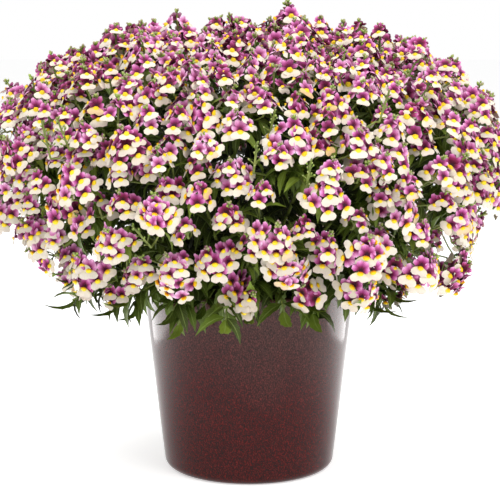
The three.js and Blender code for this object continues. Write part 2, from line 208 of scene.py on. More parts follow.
@dataclass(frozen=True)
class Dome:
    """The outline that the flower heads' centres lie on: rounded, and wider than it is high."""

    centre: float = 310 * MM
    radius: float = 244 * MM
    depth_share: float = 0.955
    rise: float = 127 * MM
    drop: float = 142 * MM
    power: float = 2.35
    lowest: float = 198 * MM
    steps: int = 400

    def section(self, polar: float) -> Pair:
        """Returns the radius and height at a polar angle from the top."""
        across, along = math.sin(polar), math.cos(polar)
        rise = self.rise if along > 0 else self.drop
        terms = (across / self.radius) ** self.power + (abs(along) / rise) ** self.power
        reach = terms ** (-1 / self.power)
        return reach * across, self.centre + reach * along

    def even_polars(self, count: int) -> list[float]:
        """Shares the dome's surface evenly.

        Args:
            count: How many places to make.

        Returns:
            Polar angles from the top to the lowest heads.
        """
        table = [(0.0, 0.0)]
        area = 0.0
        last_radius, last_height = self.section(0.0)
        for step in range(1, self.steps + 1):
            polar = step / self.steps * math.pi
            radius, height = self.section(polar)
            if height < self.lowest:
                break
            slant = math.hypot(radius - last_radius, height - last_height)
            area += (radius + last_radius) / 2 * slant
            table.append((area, polar))
            last_radius, last_height = radius, height
        row = 1
        polars = []
        for i in range(count):
            target = (i + 0.5) / count * area
            while table[row][0] < target:
                row += 1
            (below, polar_below), (above, polar_above) = table[row - 1], table[row]
            share = (target - below) / (above - below)
            polars.append(polar_below + share * (polar_above - polar_below))
        return polars

    def place(self, polar: float, turn: float) -> tuple[Vector, Vector]:
        """Returns the point and outward normal at a polar angle and a turn round the axis."""
        radius, height = self.section(polar)
        radius_on, height_on = self.section(polar + 0.01)
        spin = Matrix.Rotation(turn, 3, "Z")
        point = spin @ Vector((radius, 0, height))
        normal = spin @ Vector((height - height_on, 0, radius_on - radius))
        point.y *= self.depth_share
        normal.y /= self.depth_share
        return point, normal.normalized()

    def depth(self, point: Vector) -> float:
        """Returns how far inside the dome a point is, along the ray from the dome's centre."""
        arm = Vector((point.x, point.y / self.depth_share, point.z - self.centre))
        polar = math.atan2(math.hypot(arm.x, arm.y), arm.z)
        radius, height = self.section(polar)
        return math.hypot(radius, height - self.centre) - arm.length


class HeadKind(Enum):
    """How far a flower head has come."""

    FULL = "full"
    FILLER = "filler"
    BUDDING = "budding"


@dataclass
class Head:
    """A flower head: where it sits, which way it faces and how far it reaches."""

    point: Vector
    facing: Vector
    radius: float
    kind: HeadKind = HeadKind.FULL
    foot_height: float = -0.55

    @property
    def foot(self) -> Vector:
        """The point where the stem meets the head."""
        return self.point + self.foot_height * self.radius * self.facing


@dataclass
class Spray:
    """A flowering stem: its foot in the soil, its place on the dome and the heads it carries."""

    point: Vector
    normal: Vector
    soil_foot: Vector
    arch: float
    heads: list[Head] = field(default_factory=list)
    fillers: list[Head] = field(default_factory=list)


@dataclass(frozen=True)
class Layout:
    """The rule by which the heads and the stems are set out."""

    dome: Dome = Dome()
    heads: int = 130
    head_radius: float = 26 * MM
    clearance: float = 0.52
    sunk: float = 15 * MM
    proud: float = 7 * MM
    long: float = 13 * MM
    long_every: int = 8
    upturn: float = 0.5
    stray: float = 0.35
    sprays: int = 36
    spray_radius: float = 78 * MM
    spray_turn: float = 0.4
    knee_arch: float = 26 * MM
    knee_share: float = 0.35
    fork_depth: float = 34 * MM
    fork_spread: float = 0.9
    soil_level: float = 171 * MM
    soil_mound: float = 6 * MM
    soil_reach: float = 92 * MM
    hole_depth: float = 15.7 * MM
    stem_rise: float = 8 * MM
    pot_height: float = 190 * MM
    filler_places: int = 1700
    filler_turn: float = 1.3
    filler_spacing: float = 20 * MM
    filler_thinning: float = 15 * MM
    thinning_height: float = 330 * MM
    filler_radius: float = 23 * MM
    filler_low: float = 17 * MM
    filler_high: float = -5 * MM
    shoulder_polar: float = 1.0
    shoulder_spread: float = 0.38
    shoulder_proud: float = 24 * MM
    filler_upturn: float = 0.55
    filler_stray: float = 0.9
    budding_share: float = 0.09
    budding_proud: float = 8 * MM
    budding_steepest: float = 0.8

    def soil_height(self, radius: float) -> float:
        """Returns the height of the soil at a distance from the axis."""
        return self.soil_level + self.soil_mound * (1 - (radius / self.soil_reach) ** 2)

    def facing(self, normal: Vector, random: SeededRandom) -> Vector:
        """Returns the way a head faces, from the dome's normal and three numbers."""
        stray = Vector([random.share() - 0.5 for _ in range(3)])
        return (normal + UP * self.upturn + stray * self.stray).normalized()

    def head_places(self) -> list[Head]:
        """Returns the heads that the solids have."""
        random = SeededRandom(Series.HEADS)
        heads = []
        for i, polar in enumerate(self.dome.even_polars(self.heads)):
            turn = i * GOLDEN_ANGLE + (random.share() - 0.5) * 0.05
            point, normal = self.dome.place(polar, turn)
            lift = random.share() * (self.sunk + self.proud) - self.sunk
            long = self.long if i % self.long_every == 3 else lift
            facing = self.facing(normal, random)
            random.share()  # the series stays in step with the solids'
            radius = self.head_radius * (0.9 + 0.2 * random.share())
            heads.append(Head(point + normal * max(lift, long), facing, radius))
        for axis in (0, 1):
            places = [head.point[axis] for head in heads]
            shift = (min(places) + max(places)) / 2
            for head in heads:
                head.point[axis] -= shift
        for head in heads:
            nearest = min((o.point - head.point).length for o in heads if o is not head)
            head.radius = min(head.radius, self.clearance * nearest)
        return heads

    def filler_heads(self, heads: Sequence[Head]) -> list[Head]:
        """Finds room for smaller heads, set a little deeper between the others.

        Args:
            heads: The heads that the solids have.

        Returns:
            The smaller heads.
        """
        random = SeededRandom(Series.FILLERS)
        taken = [head.point for head in heads]
        fillers = []
        for i, polar in enumerate(self.dome.even_polars(self.filler_places)):
            point, normal = self.dome.place(polar, i * GOLDEN_ANGLE + self.filler_turn)
            point -= normal * random.between(self.filler_high, self.filler_low)
            stray = Vector([random.about(0, self.filler_stray / 2) for _ in range(3)])
            facing = (normal + UP * (self.upturn + self.filler_upturn) + stray).normalized()
            random.share()  # the series stays in step
            radius = self.filler_radius * random.between(0.88, 1.12)
            budding = random.share() < self.budding_share and normal.z < self.budding_steepest
            lowest = self.dome.lowest
            low = max(0.0, 1 - (point.z - lowest) / (self.thinning_height - lowest))
            spacing = self.filler_spacing + self.filler_thinning * min(1.0, low)
            if min((other - point).length for other in taken) < spacing:
                continue
            kind = HeadKind.BUDDING if budding else HeadKind.FILLER
            shoulder = max(0.0, 1 - ((polar - self.shoulder_polar) / self.shoulder_spread) ** 2)
            proud = self.shoulder_proud * shoulder * random.share() ** 2
            point += normal * max(proud, self.budding_proud * budding)
            taken.append(point)
            fillers.append(Head(point, facing, radius, kind))
        return fillers

    def spray_places(self) -> list[Spray]:
        """Returns the sprays with the heads that each one carries."""
        sprays = []
        for i, polar in enumerate(self.dome.even_polars(self.sprays)):
            turn = i * GOLDEN_ANGLE + self.spray_turn
            radius = self.spray_radius * math.sqrt((i + 0.5) / self.sprays)
            point, normal = self.dome.place(polar, turn)
            foot = Vector((radius * math.cos(turn), radius * math.sin(turn), 0))
            sprays.append(Spray(point, normal, foot, self.knee_arch * i / self.sprays))
        heads = self.head_places()
        for head in heads:
            self.nearest(sprays, head).heads.append(head)
        for head in self.filler_heads(heads):
            self.nearest(sprays, head).fillers.append(head)
        return sprays

    def clear_of_pot(self, tip: Vector, beyond: float = 20 * MM, above: float = 4 * MM) -> bool:
        """Returns whether a tip is so far beyond the soil's edge, or so far above the rim."""
        far = math.hypot(tip.x, tip.y) > self.soil_reach + beyond
        return far or tip.z > self.pot_height + above

    @staticmethod
    def nearest(sprays: Sequence[Spray], head: Head) -> Spray:
        """Returns the spray whose own place is nearest to a head."""
        return min(sprays, key=lambda spray: (spray.point - head.point).length)

    def stem_start(self, foot: Vector) -> list[Vector]:
        """Returns the upright start of a stem in its hole in the soil."""
        radius = math.hypot(foot.x, foot.y)
        bottom = Vector((foot.x, foot.y, self.soil_level - self.hole_depth))
        return [bottom, Vector((foot.x, foot.y, self.soil_height(radius) + self.stem_rise))]


# Meshes


def new_shape() -> BMesh:
    """Returns an empty mesh with the map that every shape has."""
    bm = bmesh.new()
    bm.loops.layers.uv.new(BLADE_MAP)
    return bm


def close_shape(bm: BMesh, name: str) -> Mesh:
    """Turns a finished shape to a mesh and frees it."""
    mesh = bpy.data.meshes.new(name)
    bm.to_mesh(mesh)
    bm.free()
    return mesh


def turn_section(section: Sequence[Sequence[float]], sides: int, closed: bool) -> BMesh:
    """Turns a section round the upright axis. The faces come in the same order each run.

    Args:
        section: Its points, in the plane of X and Z.
        sides: How many steps the full turn has.
        closed: Whether the last point joins the first.

    Returns:
        The mesh.
    """
    bm = bmesh.new()
    verts = [bm.verts.new(point) for point in section]
    first = 0 if closed else 1
    edges = [bm.edges.new((verts[i - 1], verts[i])) for i in range(first, len(verts))]
    bmesh.ops.spin(
        bm, geom=verts + edges, axis=UP, cent=(0, 0, 0), angle=FULL_TURN, steps=sides, use_merge=True
    )
    bmesh.ops.remove_doubles(bm, verts=bm.verts[:], dist=0.01 * MM)
    bm.verts.index_update()
    count = len(bm.verts)

    def rank(face: BMFace) -> int:
        """Returns a face's place in the order, from its lowest and highest corner."""
        corners = [vert.index for vert in face.verts]
        return min(corners) * count + max(corners)

    bm.faces.sort(key=rank)
    return bm


def add_piece(name: str, mesh: Mesh, materials: Sequence[Material]) -> Object:
    """Puts a finished mesh in the scene, riding on the plant's only body.

    Args:
        name: The piece's name.
        mesh: Its mesh, in place.
        materials: Its finishes.

    Returns:
        The piece.
    """
    for material in materials:
        mesh.materials.append(material)
    piece = bpy.data.objects.new(name, mesh)
    bpy.context.scene.collection.objects.link(piece)
    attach(piece, "root")
    log.info("%s: %d faces", name, len(mesh.polygons))
    return piece


def turned_frame(place: Vector, x: Vector, y: Vector, z: Vector) -> Matrix:
    """Returns the frame at a place with the given directions for its axes."""
    return Matrix.Translation(place) @ Matrix((x, y, z)).transposed().to_4x4()


def between_points(start: Vector, end: Vector) -> Matrix:
    """Returns the frame that takes a shape of 1 m along +Z to the stretch between two points."""
    turn = UP.rotation_difference(end - start).to_matrix().to_4x4()
    return Matrix.Translation(start) @ turn @ Matrix.Diagonal((1, 1, (end - start).length, 1))


def smooth_path(points: Sequence[Vector], steps: int) -> list[Vector]:
    """Rounds a path off.

    Args:
        points: The points that it goes through.
        steps: How many steps each stretch gets.

    Returns:
        The points of the smooth path, both ends included.
    """
    path = [points[0].copy()]
    for i in range(len(points) - 1):
        before = points[max(i - 1, 0)]
        after = points[min(i + 2, len(points) - 1)]
        start, end = points[i], points[i + 1]
        reach = (end - start).length / 3
        leave = (end - before).normalized() * reach
        arrive = (after - start).normalized() * reach
        stretch = geometry.interpolate_bezier(start, start + leave, end - arrive, end, steps + 1)
        path.extend(point.copy() for point in stretch[1:])
    return path


def along_path(path: Sequence[Vector], distance: float) -> tuple[Vector, Vector]:
    """Returns the point and the direction at a distance along a path."""
    for start, end in zip(path, path[1:]):
        length = (end - start).length
        if distance <= length or end is path[-1]:
            step = (end - start) / length
            return start + step * distance, step
        distance -= length
    raise ValueError("a path has two points or more")


def path_length(path: Sequence[Vector]) -> float:
    """Returns the length of a path."""
    return sum((end - start).length for start, end in zip(path, path[1:]))


class Cluster:
    """Gathers stamped shapes and stems in one mesh, with a tint and an age for each of them."""

    def __init__(self) -> None:
        """Starts an empty cluster."""
        self.bm = bmesh.new()
        self._marks: dict[str, list[float]] = {TINT: [], AGE: []}

    def stamp(self, shape: Mesh, place: Matrix, tint: float, age: float = 0.0) -> None:
        """Adds a copy of a shape.

        Args:
            shape: The shape, in its own frame.
            place: Where it goes.
            tint: Its tint, from 0 to 1.
            age: Its age, from 0 to 1.
        """
        first = len(self.bm.verts)
        self.bm.from_mesh(shape)
        bmesh.ops.transform(self.bm, matrix=place, verts=self.bm.verts[first:])
        for name, value in ((TINT, tint), (AGE, age)):
            self._marks[name].extend([value] * len(shape.vertices))

    def stem(self, path: Sequence[Vector], radii: Pair, sides: int) -> None:
        """Adds a round stem that tapers along a path and is closed at both ends.

        Args:
            path: The middle line.
            radii: The radius at the start and at the end.
            sides: How many sides it has.
        """
        bm = new_shape()
        turn = UP.rotation_difference(path[1] - path[0])
        last = (path[1] - path[0]).normalized()
        edges_below: list[BMEdge] = []
        for i, point in enumerate(path):
            ahead = path[min(i + 1, len(path) - 1)] - path[max(i - 1, 0)]
            turn = last.rotation_difference(ahead.normalized()) @ turn
            last = ahead.normalized()
            share = i / (len(path) - 1)
            ring = bmesh.ops.create_circle(
                bm,
                segments=sides,
                cap_ends=i in (0, len(path) - 1),
                radius=radii[0] + (radii[1] - radii[0]) * share,
                matrix=Matrix.Translation(point) @ turn.to_matrix().to_4x4(),
            )["verts"]
            edges = list({edge for vert in ring for edge in vert.link_edges})
            if edges_below:
                bmesh.ops.bridge_loops(bm, edges=edges_below + edges)
            edges_below = edges
        bmesh.ops.recalc_face_normals(bm, faces=bm.faces[:])
        for face in bm.faces:
            face.smooth = True
        shape = close_shape(bm, "stem")
        self.stamp(shape, Matrix(), STEM_TINT)
        bpy.data.meshes.remove(shape)

    def finish(self, name: str, materials: Sequence[Material], slot: str) -> Object:
        """Makes the cluster a piece of the plant.

        Args:
            name: The piece's name.
            materials: Its finishes, in the order of the shapes' indices.
            slot: Not used.

        Returns:
            The piece.
        """
        mesh = close_shape(self.bm, name)
        for attribute, values in self._marks.items():
            layer = mesh.attributes.new(attribute, "FLOAT", "POINT")
            layer.data.foreach_set("value", values)
        return add_piece(name, mesh, materials)


# Shapes that are stamped many times


def press_blade(
    bm: BMesh,
    sides: int,
    thickness: float,
    slot: "PetalSlot",
    shape: Flat,
    bend: Bend,
    rings: int = 3,
    mapped_from: float = 0.0,
) -> None:
    """Presses a sphere flat to a thin closed blade and bends it.

    The lowest ring of the sphere's corners becomes the edge, and one above it lies on the face.

    Args:
        bm: The mesh that it joins.
        sides: How many corners its outline has.
        thickness: Its thickness in the middle.
        slot: Its finish.
        shape: The flat place of a corner, from its turn and its share of the way to the edge.
        bend: The place in space of a flat place.
        rings: 3, or 2 for a blade with no corners on its face but the middle one.
        mapped_from: Where on the blade's map its root lies. From there the rest is shared out.
    """
    layer = bm.loops.layers.uv[BLADE_MAP]
    verts = bmesh.ops.create_uvsphere(bm, u_segments=sides, v_segments=rings, radius=1)["verts"]
    places: dict[BMVert, Pair] = {}
    rim = {vert for vert in verts if -0.9 < vert.co.z < 0.1}
    for vert in verts:
        reach = 0.0 if abs(vert.co.z) > 0.9 else 1.0 if vert in rim else FACE_RING
        along, across = shape(math.atan2(vert.co.y, vert.co.x), reach)
        side = math.copysign(math.sqrt(1 - reach**2), vert.co.z)
        places[vert] = (0.5 + 0.5 * across, mapped_from + (1 - mapped_from) * along)
        vert.co = bend(along, across) + Vector((0, 0, side * thickness / 2))
    faces = {face for vert in verts for face in vert.link_faces}
    for face in faces:
        face.material_index = slot.value
        face.smooth = True
        for loop in face.loops:
            loop[layer].uv = places[loop.vert]
    for edge in {edge for face in faces for edge in face.edges}:
        if edge.verts[0] in rim and edge.verts[1] in rim:
            edge.smooth = False


class PetalSlot(Enum):
    """The finishes of a floret, by index."""

    UPPER = 0
    LIP = 1
    PALATE = 2


LIP_EDGE = (
    *((0.91, 0.0), (1.0, 0.32), (0.97, 0.66), (0.8, 0.93), (0.56, 1.0)),
    *((0.33, 0.84), (0.14, 0.55), (0.03, 0.26), (0.0, 0.0)),
)
LIGHT_LIP_EDGE = (
    *((0.91, 0.0), (0.99, 0.46), (0.83, 0.9), (0.5, 1.0)),
    *((0.2, 0.7), (0.04, 0.3), (0.0, 0.0)),
)


@dataclass(frozen=True)
class Floret:
    """One flower: four rounded upper lobes, a broad two-lobed lip and a two-bossed palate.

    In its own frame the lip points along +X and the face looks along +Z. The origin is at the
    throat. The lip's edge is in shares of its length and half width, from the notch to the throat.
    """

    lobe_length: float = 8.3 * MM
    lobe_width: float = 6.8 * MM
    lobe_turns: tuple[float, ...] = (-1.28, -0.44, 0.44, 1.28)
    lobe_sides: int = 7
    lobe_rings: int = 3
    lip_start: float = 1.2 * MM
    lip_length: float = 8.4 * MM
    lip_width: float = 15.8 * MM
    lip_edge: tuple[Pair, ...] = LIP_EDGE
    palate_length: float = 4.2 * MM
    palate_width: float = 5.6 * MM
    palate_rise: float = 2.3 * MM
    palate_thickness: float = 1.6 * MM
    palate_sides: int = 8
    petal_thickness: float = 0.45 * MM
    tube_length: float = 4.5 * MM
    variants: int = 8

    def shapes(self) -> list[Mesh]:
        """Returns the florets that the heads are made of, each a little different."""
        return [self.shape(i) for i in range(self.variants)]

    def shape(self, variant: int) -> Mesh:
        """Makes one floret.

        Args:
            variant: Which one of the variants.

        Returns:
            Its mesh.
        """
        random = SeededRandom(Series.FLORETS + variant)
        bm = new_shape()
        self._add_tube(bm)
        for turn in self.lobe_turns:
            self._add_lobe(bm, turn, random)
        self._add_lip(bm, random)
        self._add_palate(bm)
        return close_shape(bm, f"floret_{variant}")

    def _add_tube(self, bm: BMesh) -> None:
        """Adds the short tube behind the face, dark at its mouth."""
        place = Matrix.Translation((0, 0, 0.6 * MM - self.tube_length / 2))
        sizes = {"radius1": 1.0 * MM, "radius2": 2.2 * MM, "depth": self.tube_length}
        made = bmesh.ops.create_cone(bm, cap_ends=True, segments=4, matrix=place, **sizes)["verts"]
        layer = bm.loops.layers.uv[BLADE_MAP]
        for face in {face for vert in made for face in vert.link_faces}:
            face.material_index = PetalSlot.UPPER.value
            for loop in face.loops:
                loop[layer].uv = (0.5, 0.0 if loop.vert.co.z > 0 else 0.5)

    def _add_lobe(self, bm: BMesh, turn: float, random: SeededRandom) -> None:
        """Adds one upper lobe, which stands up from the face and curls back at its tip.

        Args:
            bm: The floret's mesh.
            turn: How far the lobe is turned from straight up.
            random: Where its small differences come from.
        """
        outer = abs(turn) > 1
        length = self.lobe_length * random.between(0.9, 1.08) * (0.88 if outer else 1.0)
        width = self.lobe_width * random.between(0.9, 1.12)
        rise = random.between(0.35, 0.65) if outer else random.between(0.6, 1.0)
        curl = random.between(0.2, 0.45)
        twist = random.about(0, 0.3)
        behind = 0.0 if outer else 0.5 * MM
        spin = Matrix.Rotation(math.pi + turn + random.about(0, 0.1), 3, "Z")

        def shape(angle: float, reach: float) -> Pair:
            """Returns a place on a rounded lobe that widens to its tip."""
            along = 0.5 + 0.5 * reach * math.cos(angle)
            widen = 0.84 + 0.26 * math.cos(angle) - 0.1 * math.cos(2 * angle)
            return along, reach * math.sin(angle) * widen

        def bend(along: float, across: float) -> Vector:
            """Lifts the lobe from the face, curls its tip and twists it."""
            lift = length * (rise * along - curl * along * along)
            lift += width * (twist * across * along - 0.14 * across**2)
            flat = Vector((length * along + 0.6 * MM, across * width / 2, lift - behind))
            return spin @ flat

        thickness, rings = self.petal_thickness, self.lobe_rings
        press_blade(bm, self.lobe_sides, thickness, PetalSlot.UPPER, shape, bend, rings)

    def _add_lip(self, bm: BMesh, random: SeededRandom) -> None:
        """Adds the broad two-lobed lip.

        Args:
            bm: The floret's mesh.
            random: Where its small differences come from.
        """
        sides = 2 * (len(self.lip_edge) - 1)
        length = self.lip_length * random.between(0.93, 1.06)
        width = self.lip_width * random.between(0.93, 1.07)
        notch = random.between(0.0, 0.1)
        droop = random.between(0.05, 0.28)
        curl = random.between(0.0, 0.18)
        phase = random.between(0, FULL_TURN)
        waves = [random.about(0, 0.045) for _ in range(sides)]

        def shape(angle: float, reach: float) -> Pair:
            """Returns a place on the lip, whose edge is a little wavy."""
            corner = round(angle / FULL_TURN * sides)
            along, across = self.lip_edge[abs(corner)]
            wave = 1 + waves[corner % sides]
            along = along * wave - notch * (corner == 0)
            return 0.5 + reach * (along - 0.5), math.copysign(across, corner) * reach * wave

        def bend(along: float, across: float) -> Vector:
            """Lets the lip droop and ruffles it, with a groove down its middle."""
            ruffle = 0.06 * math.sin(6 * across + phase) * along**2
            groove = 0.05 * math.exp(-((across / 0.2) ** 2))
            fall = 0.06 - droop * along**2 - curl * across**2 * (0.3 + 0.7 * along)
            height = length * (fall + ruffle - groove)
            return Vector((self.lip_start + length * along, across * width / 2, height))

        press_blade(bm, sides, self.petal_thickness, PetalSlot.LIP, shape, bend)

    def _add_palate(self, bm: BMesh) -> None:
        """Adds the two bosses that close the throat."""
        middle = self.lip_start + 0.36 * self.palate_length

        def shape(angle: float, reach: float) -> Pair:
            """Returns a place on a round."""
            return reach * math.cos(angle), reach * math.sin(angle)

        def bend(along: float, across: float) -> Vector:
            """Raises the round to two bosses with a crease between them."""
            top = 1 - min(1.0, along**2 + across**2) ** 1.5
            crease = 1 - 0.4 * math.exp(-((across / 0.3) ** 2))
            height = 0.7 * MM + self.palate_rise * top * crease - 0.5 * MM * along
            reach, width = self.palate_length / 2, self.palate_width / 2
            return Vector((middle + along * reach, across * width, height))

        slot, rings = PetalSlot.PALATE, self.lobe_rings
        thickness = self.palate_thickness
        press_blade(bm, self.palate_sides, thickness, slot, shape, bend, rings, mapped_from=0.5)


class GreenSlot(Enum):
    """The finishes of the green parts, by index."""

    STEM = 0
    LEAF = 1
    BUD = 2


PLAIN_STATIONS = ((0, 0), (0.22, 0.82), (0.42, 1.0), (0.68, 0.66), (1, 0))
FINE_STATIONS = (
    *((0, 0), (0.08, 0.22), (0.22, 0.84), (0.33, 1.0), (0.4, 0.8)),
    *((0.55, 0.94), (0.62, 0.68), (0.78, 0.56), (0.84, 0.34), (1, 0)),
)


@dataclass(frozen=True)
class LeafBlade:
    """A lance-shaped, toothed leaf. Its root is at the origin and it points along +X.

    A station is a share of its length, with the share of its width that it has there.
    """

    length: float
    width: float
    stations: tuple[Pair, ...]
    droop: float = 0.2
    arch: float = 0.1
    fold: float = 0.16
    strips: int = 2
    thickness: float = 0.7 * MM

    def shape(self, name: str) -> Mesh:
        """Makes the leaf.

        Args:
            name: The mesh's name.

        Returns:
            Its mesh.
        """
        bm = new_shape()
        layer = bm.loops.layers.uv[BLADE_MAP]
        count = len(self.stations) - 1
        bmesh.ops.create_grid(bm, x_segments=count, y_segments=self.strips, size=1)
        for edge in bm.edges:
            edge.smooth = not edge.is_boundary
        for face in bm.faces:
            face.smooth = True
            face.material_index = GreenSlot.LEAF.value
            for loop in face.loops:
                station = self.stations[round((loop.vert.co.x + 1) / 2 * count)][0]
                loop[layer].uv = (0.5 + 0.5 * loop.vert.co.y, station)
        inner = [vert for vert in bm.verts if not vert.is_boundary]
        under = bmesh.ops.duplicate(bm, geom=bm.faces[:] + bm.edges[:] + bm.verts[:])
        lower = [item for item in under["geom"] if isinstance(item, BMFace)]
        bmesh.ops.reverse_faces(bm, faces=lower)
        copies = {under["vert_map"][vert] for vert in inner}
        for vert in bm.verts:
            drop = self.thickness if vert in copies else 0.0
            station, width = self.stations[round((vert.co.x + 1) / 2 * count)]
            across = vert.co.y * width
            fall = self.arch * 4 * station * (1 - station) - self.droop * station**2
            rise = self.length * fall + self.fold * self.width * abs(across)
            vert.co = (station * self.length, across * self.width / 2, rise - drop)
        bmesh.ops.remove_doubles(bm, verts=bm.verts[:], dist=0.01 * MM)
        return close_shape(bm, name)


@dataclass(frozen=True)
class Bud:
    """A plump closed bud, blunt at its tip. Its root is at the origin and it points along +Z."""

    length: float = 5.2 * MM
    width: float = 3.0 * MM

    def shape(self) -> Mesh:
        """Returns the bud's mesh."""
        bm = new_shape()
        layer = bm.loops.layers.uv[BLADE_MAP]
        bmesh.ops.create_uvsphere(bm, u_segments=5, v_segments=3, radius=1)
        for face in bm.faces:
            face.smooth = True
            face.material_index = GreenSlot.BUD.value
            for loop in face.loops:
                loop[layer].uv = (0.5, 0.5 + 0.5 * loop.vert.co.z)
        half = self.width / 2
        bmesh.ops.scale(bm, vec=(half, half, self.length / 2), verts=bm.verts[:])
        bmesh.ops.translate(bm, vec=(0, 0, self.length / 2), verts=bm.verts[:])
        return close_shape(bm, "bud")


@dataclass(frozen=True)
class Stalk:
    """The stalk behind a floret, and the calyx that holds its tube. Both start at the origin.

    The stalk is 1 m long and is stretched to its length when it is stamped.
    """

    radius: float = 0.55 * MM
    calyx_radius: float = 1.9 * MM
    calyx_length: float = 3.2 * MM

    def stalk(self) -> Mesh:
        """Returns the stalk's mesh."""
        return self._cone("stalk", 3, self.radius, 1, GreenSlot.STEM)

    def calyx(self) -> Mesh:
        """Returns the calyx's mesh."""
        return self._cone("calyx", 4, self.calyx_radius, self.calyx_length, GreenSlot.BUD)

    def _cone(self, name: str, sides: int, end: float, length: float, slot: GreenSlot) -> Mesh:
        """Returns a cone along +Z, with its radius at the end, its length and its finish."""
        bm = new_shape()
        place = Matrix.Translation((0, 0, length / 2))
        sizes = {"radius1": self.radius, "radius2": end, "depth": length}
        bmesh.ops.create_cone(bm, cap_ends=True, segments=sides, matrix=place, **sizes)
        for face in bm.faces:
            face.material_index = slot.value
        return close_shape(bm, name)


# Finishes


@dataclass(frozen=True)
class VeinedPetal:
    """Petal tissue with fine veins along its length, which shade and raise it."""

    name: str
    veins: float
    vein_span: Pair
    vein_shade: float
    vein_relief: float

    def veined(self, node: NodeMaker, blade: Node, colour: Node) -> dict:
        """Draws the veins over a petal's colour.

        Args:
            node: Adds a node to the material.
            blade: The petal's map.
            colour: Its colour without the veins.

        Returns:
            The shader's colour and normal.
        """
        scale = (self.veins, 2.0, 1.0)
        lines = node("Mapping", {"Vector": blade.outputs["UV"], "Scale": scale})
        veins = node("TexNoise", {"Vector": lines, "Scale": 1.0, "Detail": 2.0})
        low, high = self.vein_span
        span = {"From Min": low, "From Max": high, "To Min": self.vein_shade}
        shade = node("MapRange", {"Value": veins.outputs["Fac"], **span})
        shaded = {0: 1.0, 6: colour, 7: shade}
        height = {"Height": veins.outputs["Fac"], "Distance": 0.2 * MM}
        return {
            "Base Color": node("Mix", shaded, data_type="RGBA", blend_type="MULTIPLY"),
            "Normal": node("Bump", {**height, "Strength": self.vein_relief}),
        }


@dataclass(frozen=True)
class UpperPetalFinish(VeinedPetal):
    """Velvety petal tissue: mauve to lilac, plum at the throat, finely veined; the near-white tips
    are partly painted highlight.
    """

    name: str = "nemesia_upper_petal"
    veins: float = 22.0
    vein_span: Pair = (0.32, 0.6)
    vein_shade: float = 0.6
    vein_relief: float = 0.25
    # Each ramp pales toward the tip: partly the petal's own lilac, partly painted highlight.
    middle: Stops = (
        *((0.0, "#3C0422"), (0.28, "#781446"), (0.5, "#B2468C")),
        *((0.74, "#E082C0"), (1.0, "#F4BEE2")),
    )
    pale: Stops = (
        *((0.0, "#560A32"), (0.24, "#A03A70"), (0.48, "#D884B8")),
        *((0.74, "#ECB2D8"), (1.0, "#F8D8EC")),
    )
    deep: Stops = (
        *((0.0, "#2C0412"), (0.34, "#640A30"), (0.58, "#902256")),
        *((0.8, "#BC5494"), (1.0, "#DA96C0")),
    )

    def build(self) -> Material:
        """Returns the material."""
        material, node, shader = new_finish(self.name)
        blade = node("UVMap", uv_map=BLADE_MAP)
        along = node("SeparateXYZ", {0: blade}).outputs["Y"]
        tint = node("Attribute", attribute_name=TINT).outputs["Fac"]
        middle = node("ValToRGB", {"Fac": along}, self.middle)
        pale = node("ValToRGB", {"Fac": along}, self.pale)
        deep = node("ValToRGB", {"Fac": along}, self.deep)
        to_pale = node("MapRange", {"Value": tint, "From Min": 0.5, "From Max": 0.05})
        to_deep = node("MapRange", {"Value": tint, "From Min": 0.6, "From Max": 0.95})
        paler = node("Mix", {0: to_pale, 6: middle, 7: pale}, data_type="RGBA")
        toned = node("Mix", {0: to_deep, 6: paler, 7: deep}, data_type="RGBA")
        connect(shader, self.veined(node, blade, toned))
        connect(shader, {"Roughness": 0.62, "IOR": 1.4, "Specular IOR Level": 0.3})
        connect(shader, {"Sheen Weight": 0.1, "Sheen Roughness": 0.5})
        return material


@dataclass(frozen=True)
class LipPetalFinish(VeinedPetal):
    """Waxy petal tissue: cream, yellower at the throat, faintly veined, with painted shade. It fades
    to buff.
    """

    name: str = "nemesia_lip_petal"
    veins: float = 26.0
    vein_span: Pair = (0.3, 0.7)
    vein_shade: float = 0.92
    vein_relief: float = 0.2
    cream: Stops = ((0.0, "#E2C650"), (0.2, "#E6DCB4"), (0.42, "#E6DFD0"), (0.95, "#E4DCCE"))
    # A greyer, darker copy of the cream: painted shade on the lips of florets of high tint.
    shaded_cream: Stops = ((0.0, "#CBB04E"), (0.26, "#DACEAA"), (0.5, "#DCD2C2"), (0.97, "#D2C2B8"))
    buff: Stops = ((0.0, "#C99A3A"), (0.4, "#DDBB7A"), (0.8, "#D2AC78"), (1.0, "#B98A62"))

    def build(self) -> Material:
        """Returns the material."""
        material, node, shader = new_finish(self.name)
        blade = node("UVMap", uv_map=BLADE_MAP)
        along = node("SeparateXYZ", {0: blade}).outputs["Y"]
        tint = node("Attribute", attribute_name=TINT).outputs["Fac"]
        age = node("Attribute", attribute_name=AGE).outputs["Fac"]
        cream = node("ValToRGB", {"Fac": along}, self.cream)
        shaded_cream = node("ValToRGB", {"Fac": along}, self.shaded_cream)
        buff = node("ValToRGB", {"Fac": along}, self.buff)
        # Painted shade: lips of high tint turn to the greyer copy of the cream.
        shaded = node("Mix", {0: tint, 6: cream, 7: shaded_cream}, data_type="RGBA")
        aged = node("Mix", {0: age, 6: shaded, 7: buff}, data_type="RGBA")
        connect(shader, self.veined(node, blade, aged))
        connect(shader, {"Roughness": 0.55, "IOR": 1.42})
        connect(shader, {"Sheen Weight": 0.15, "Sheen Roughness": 0.5})
        return material


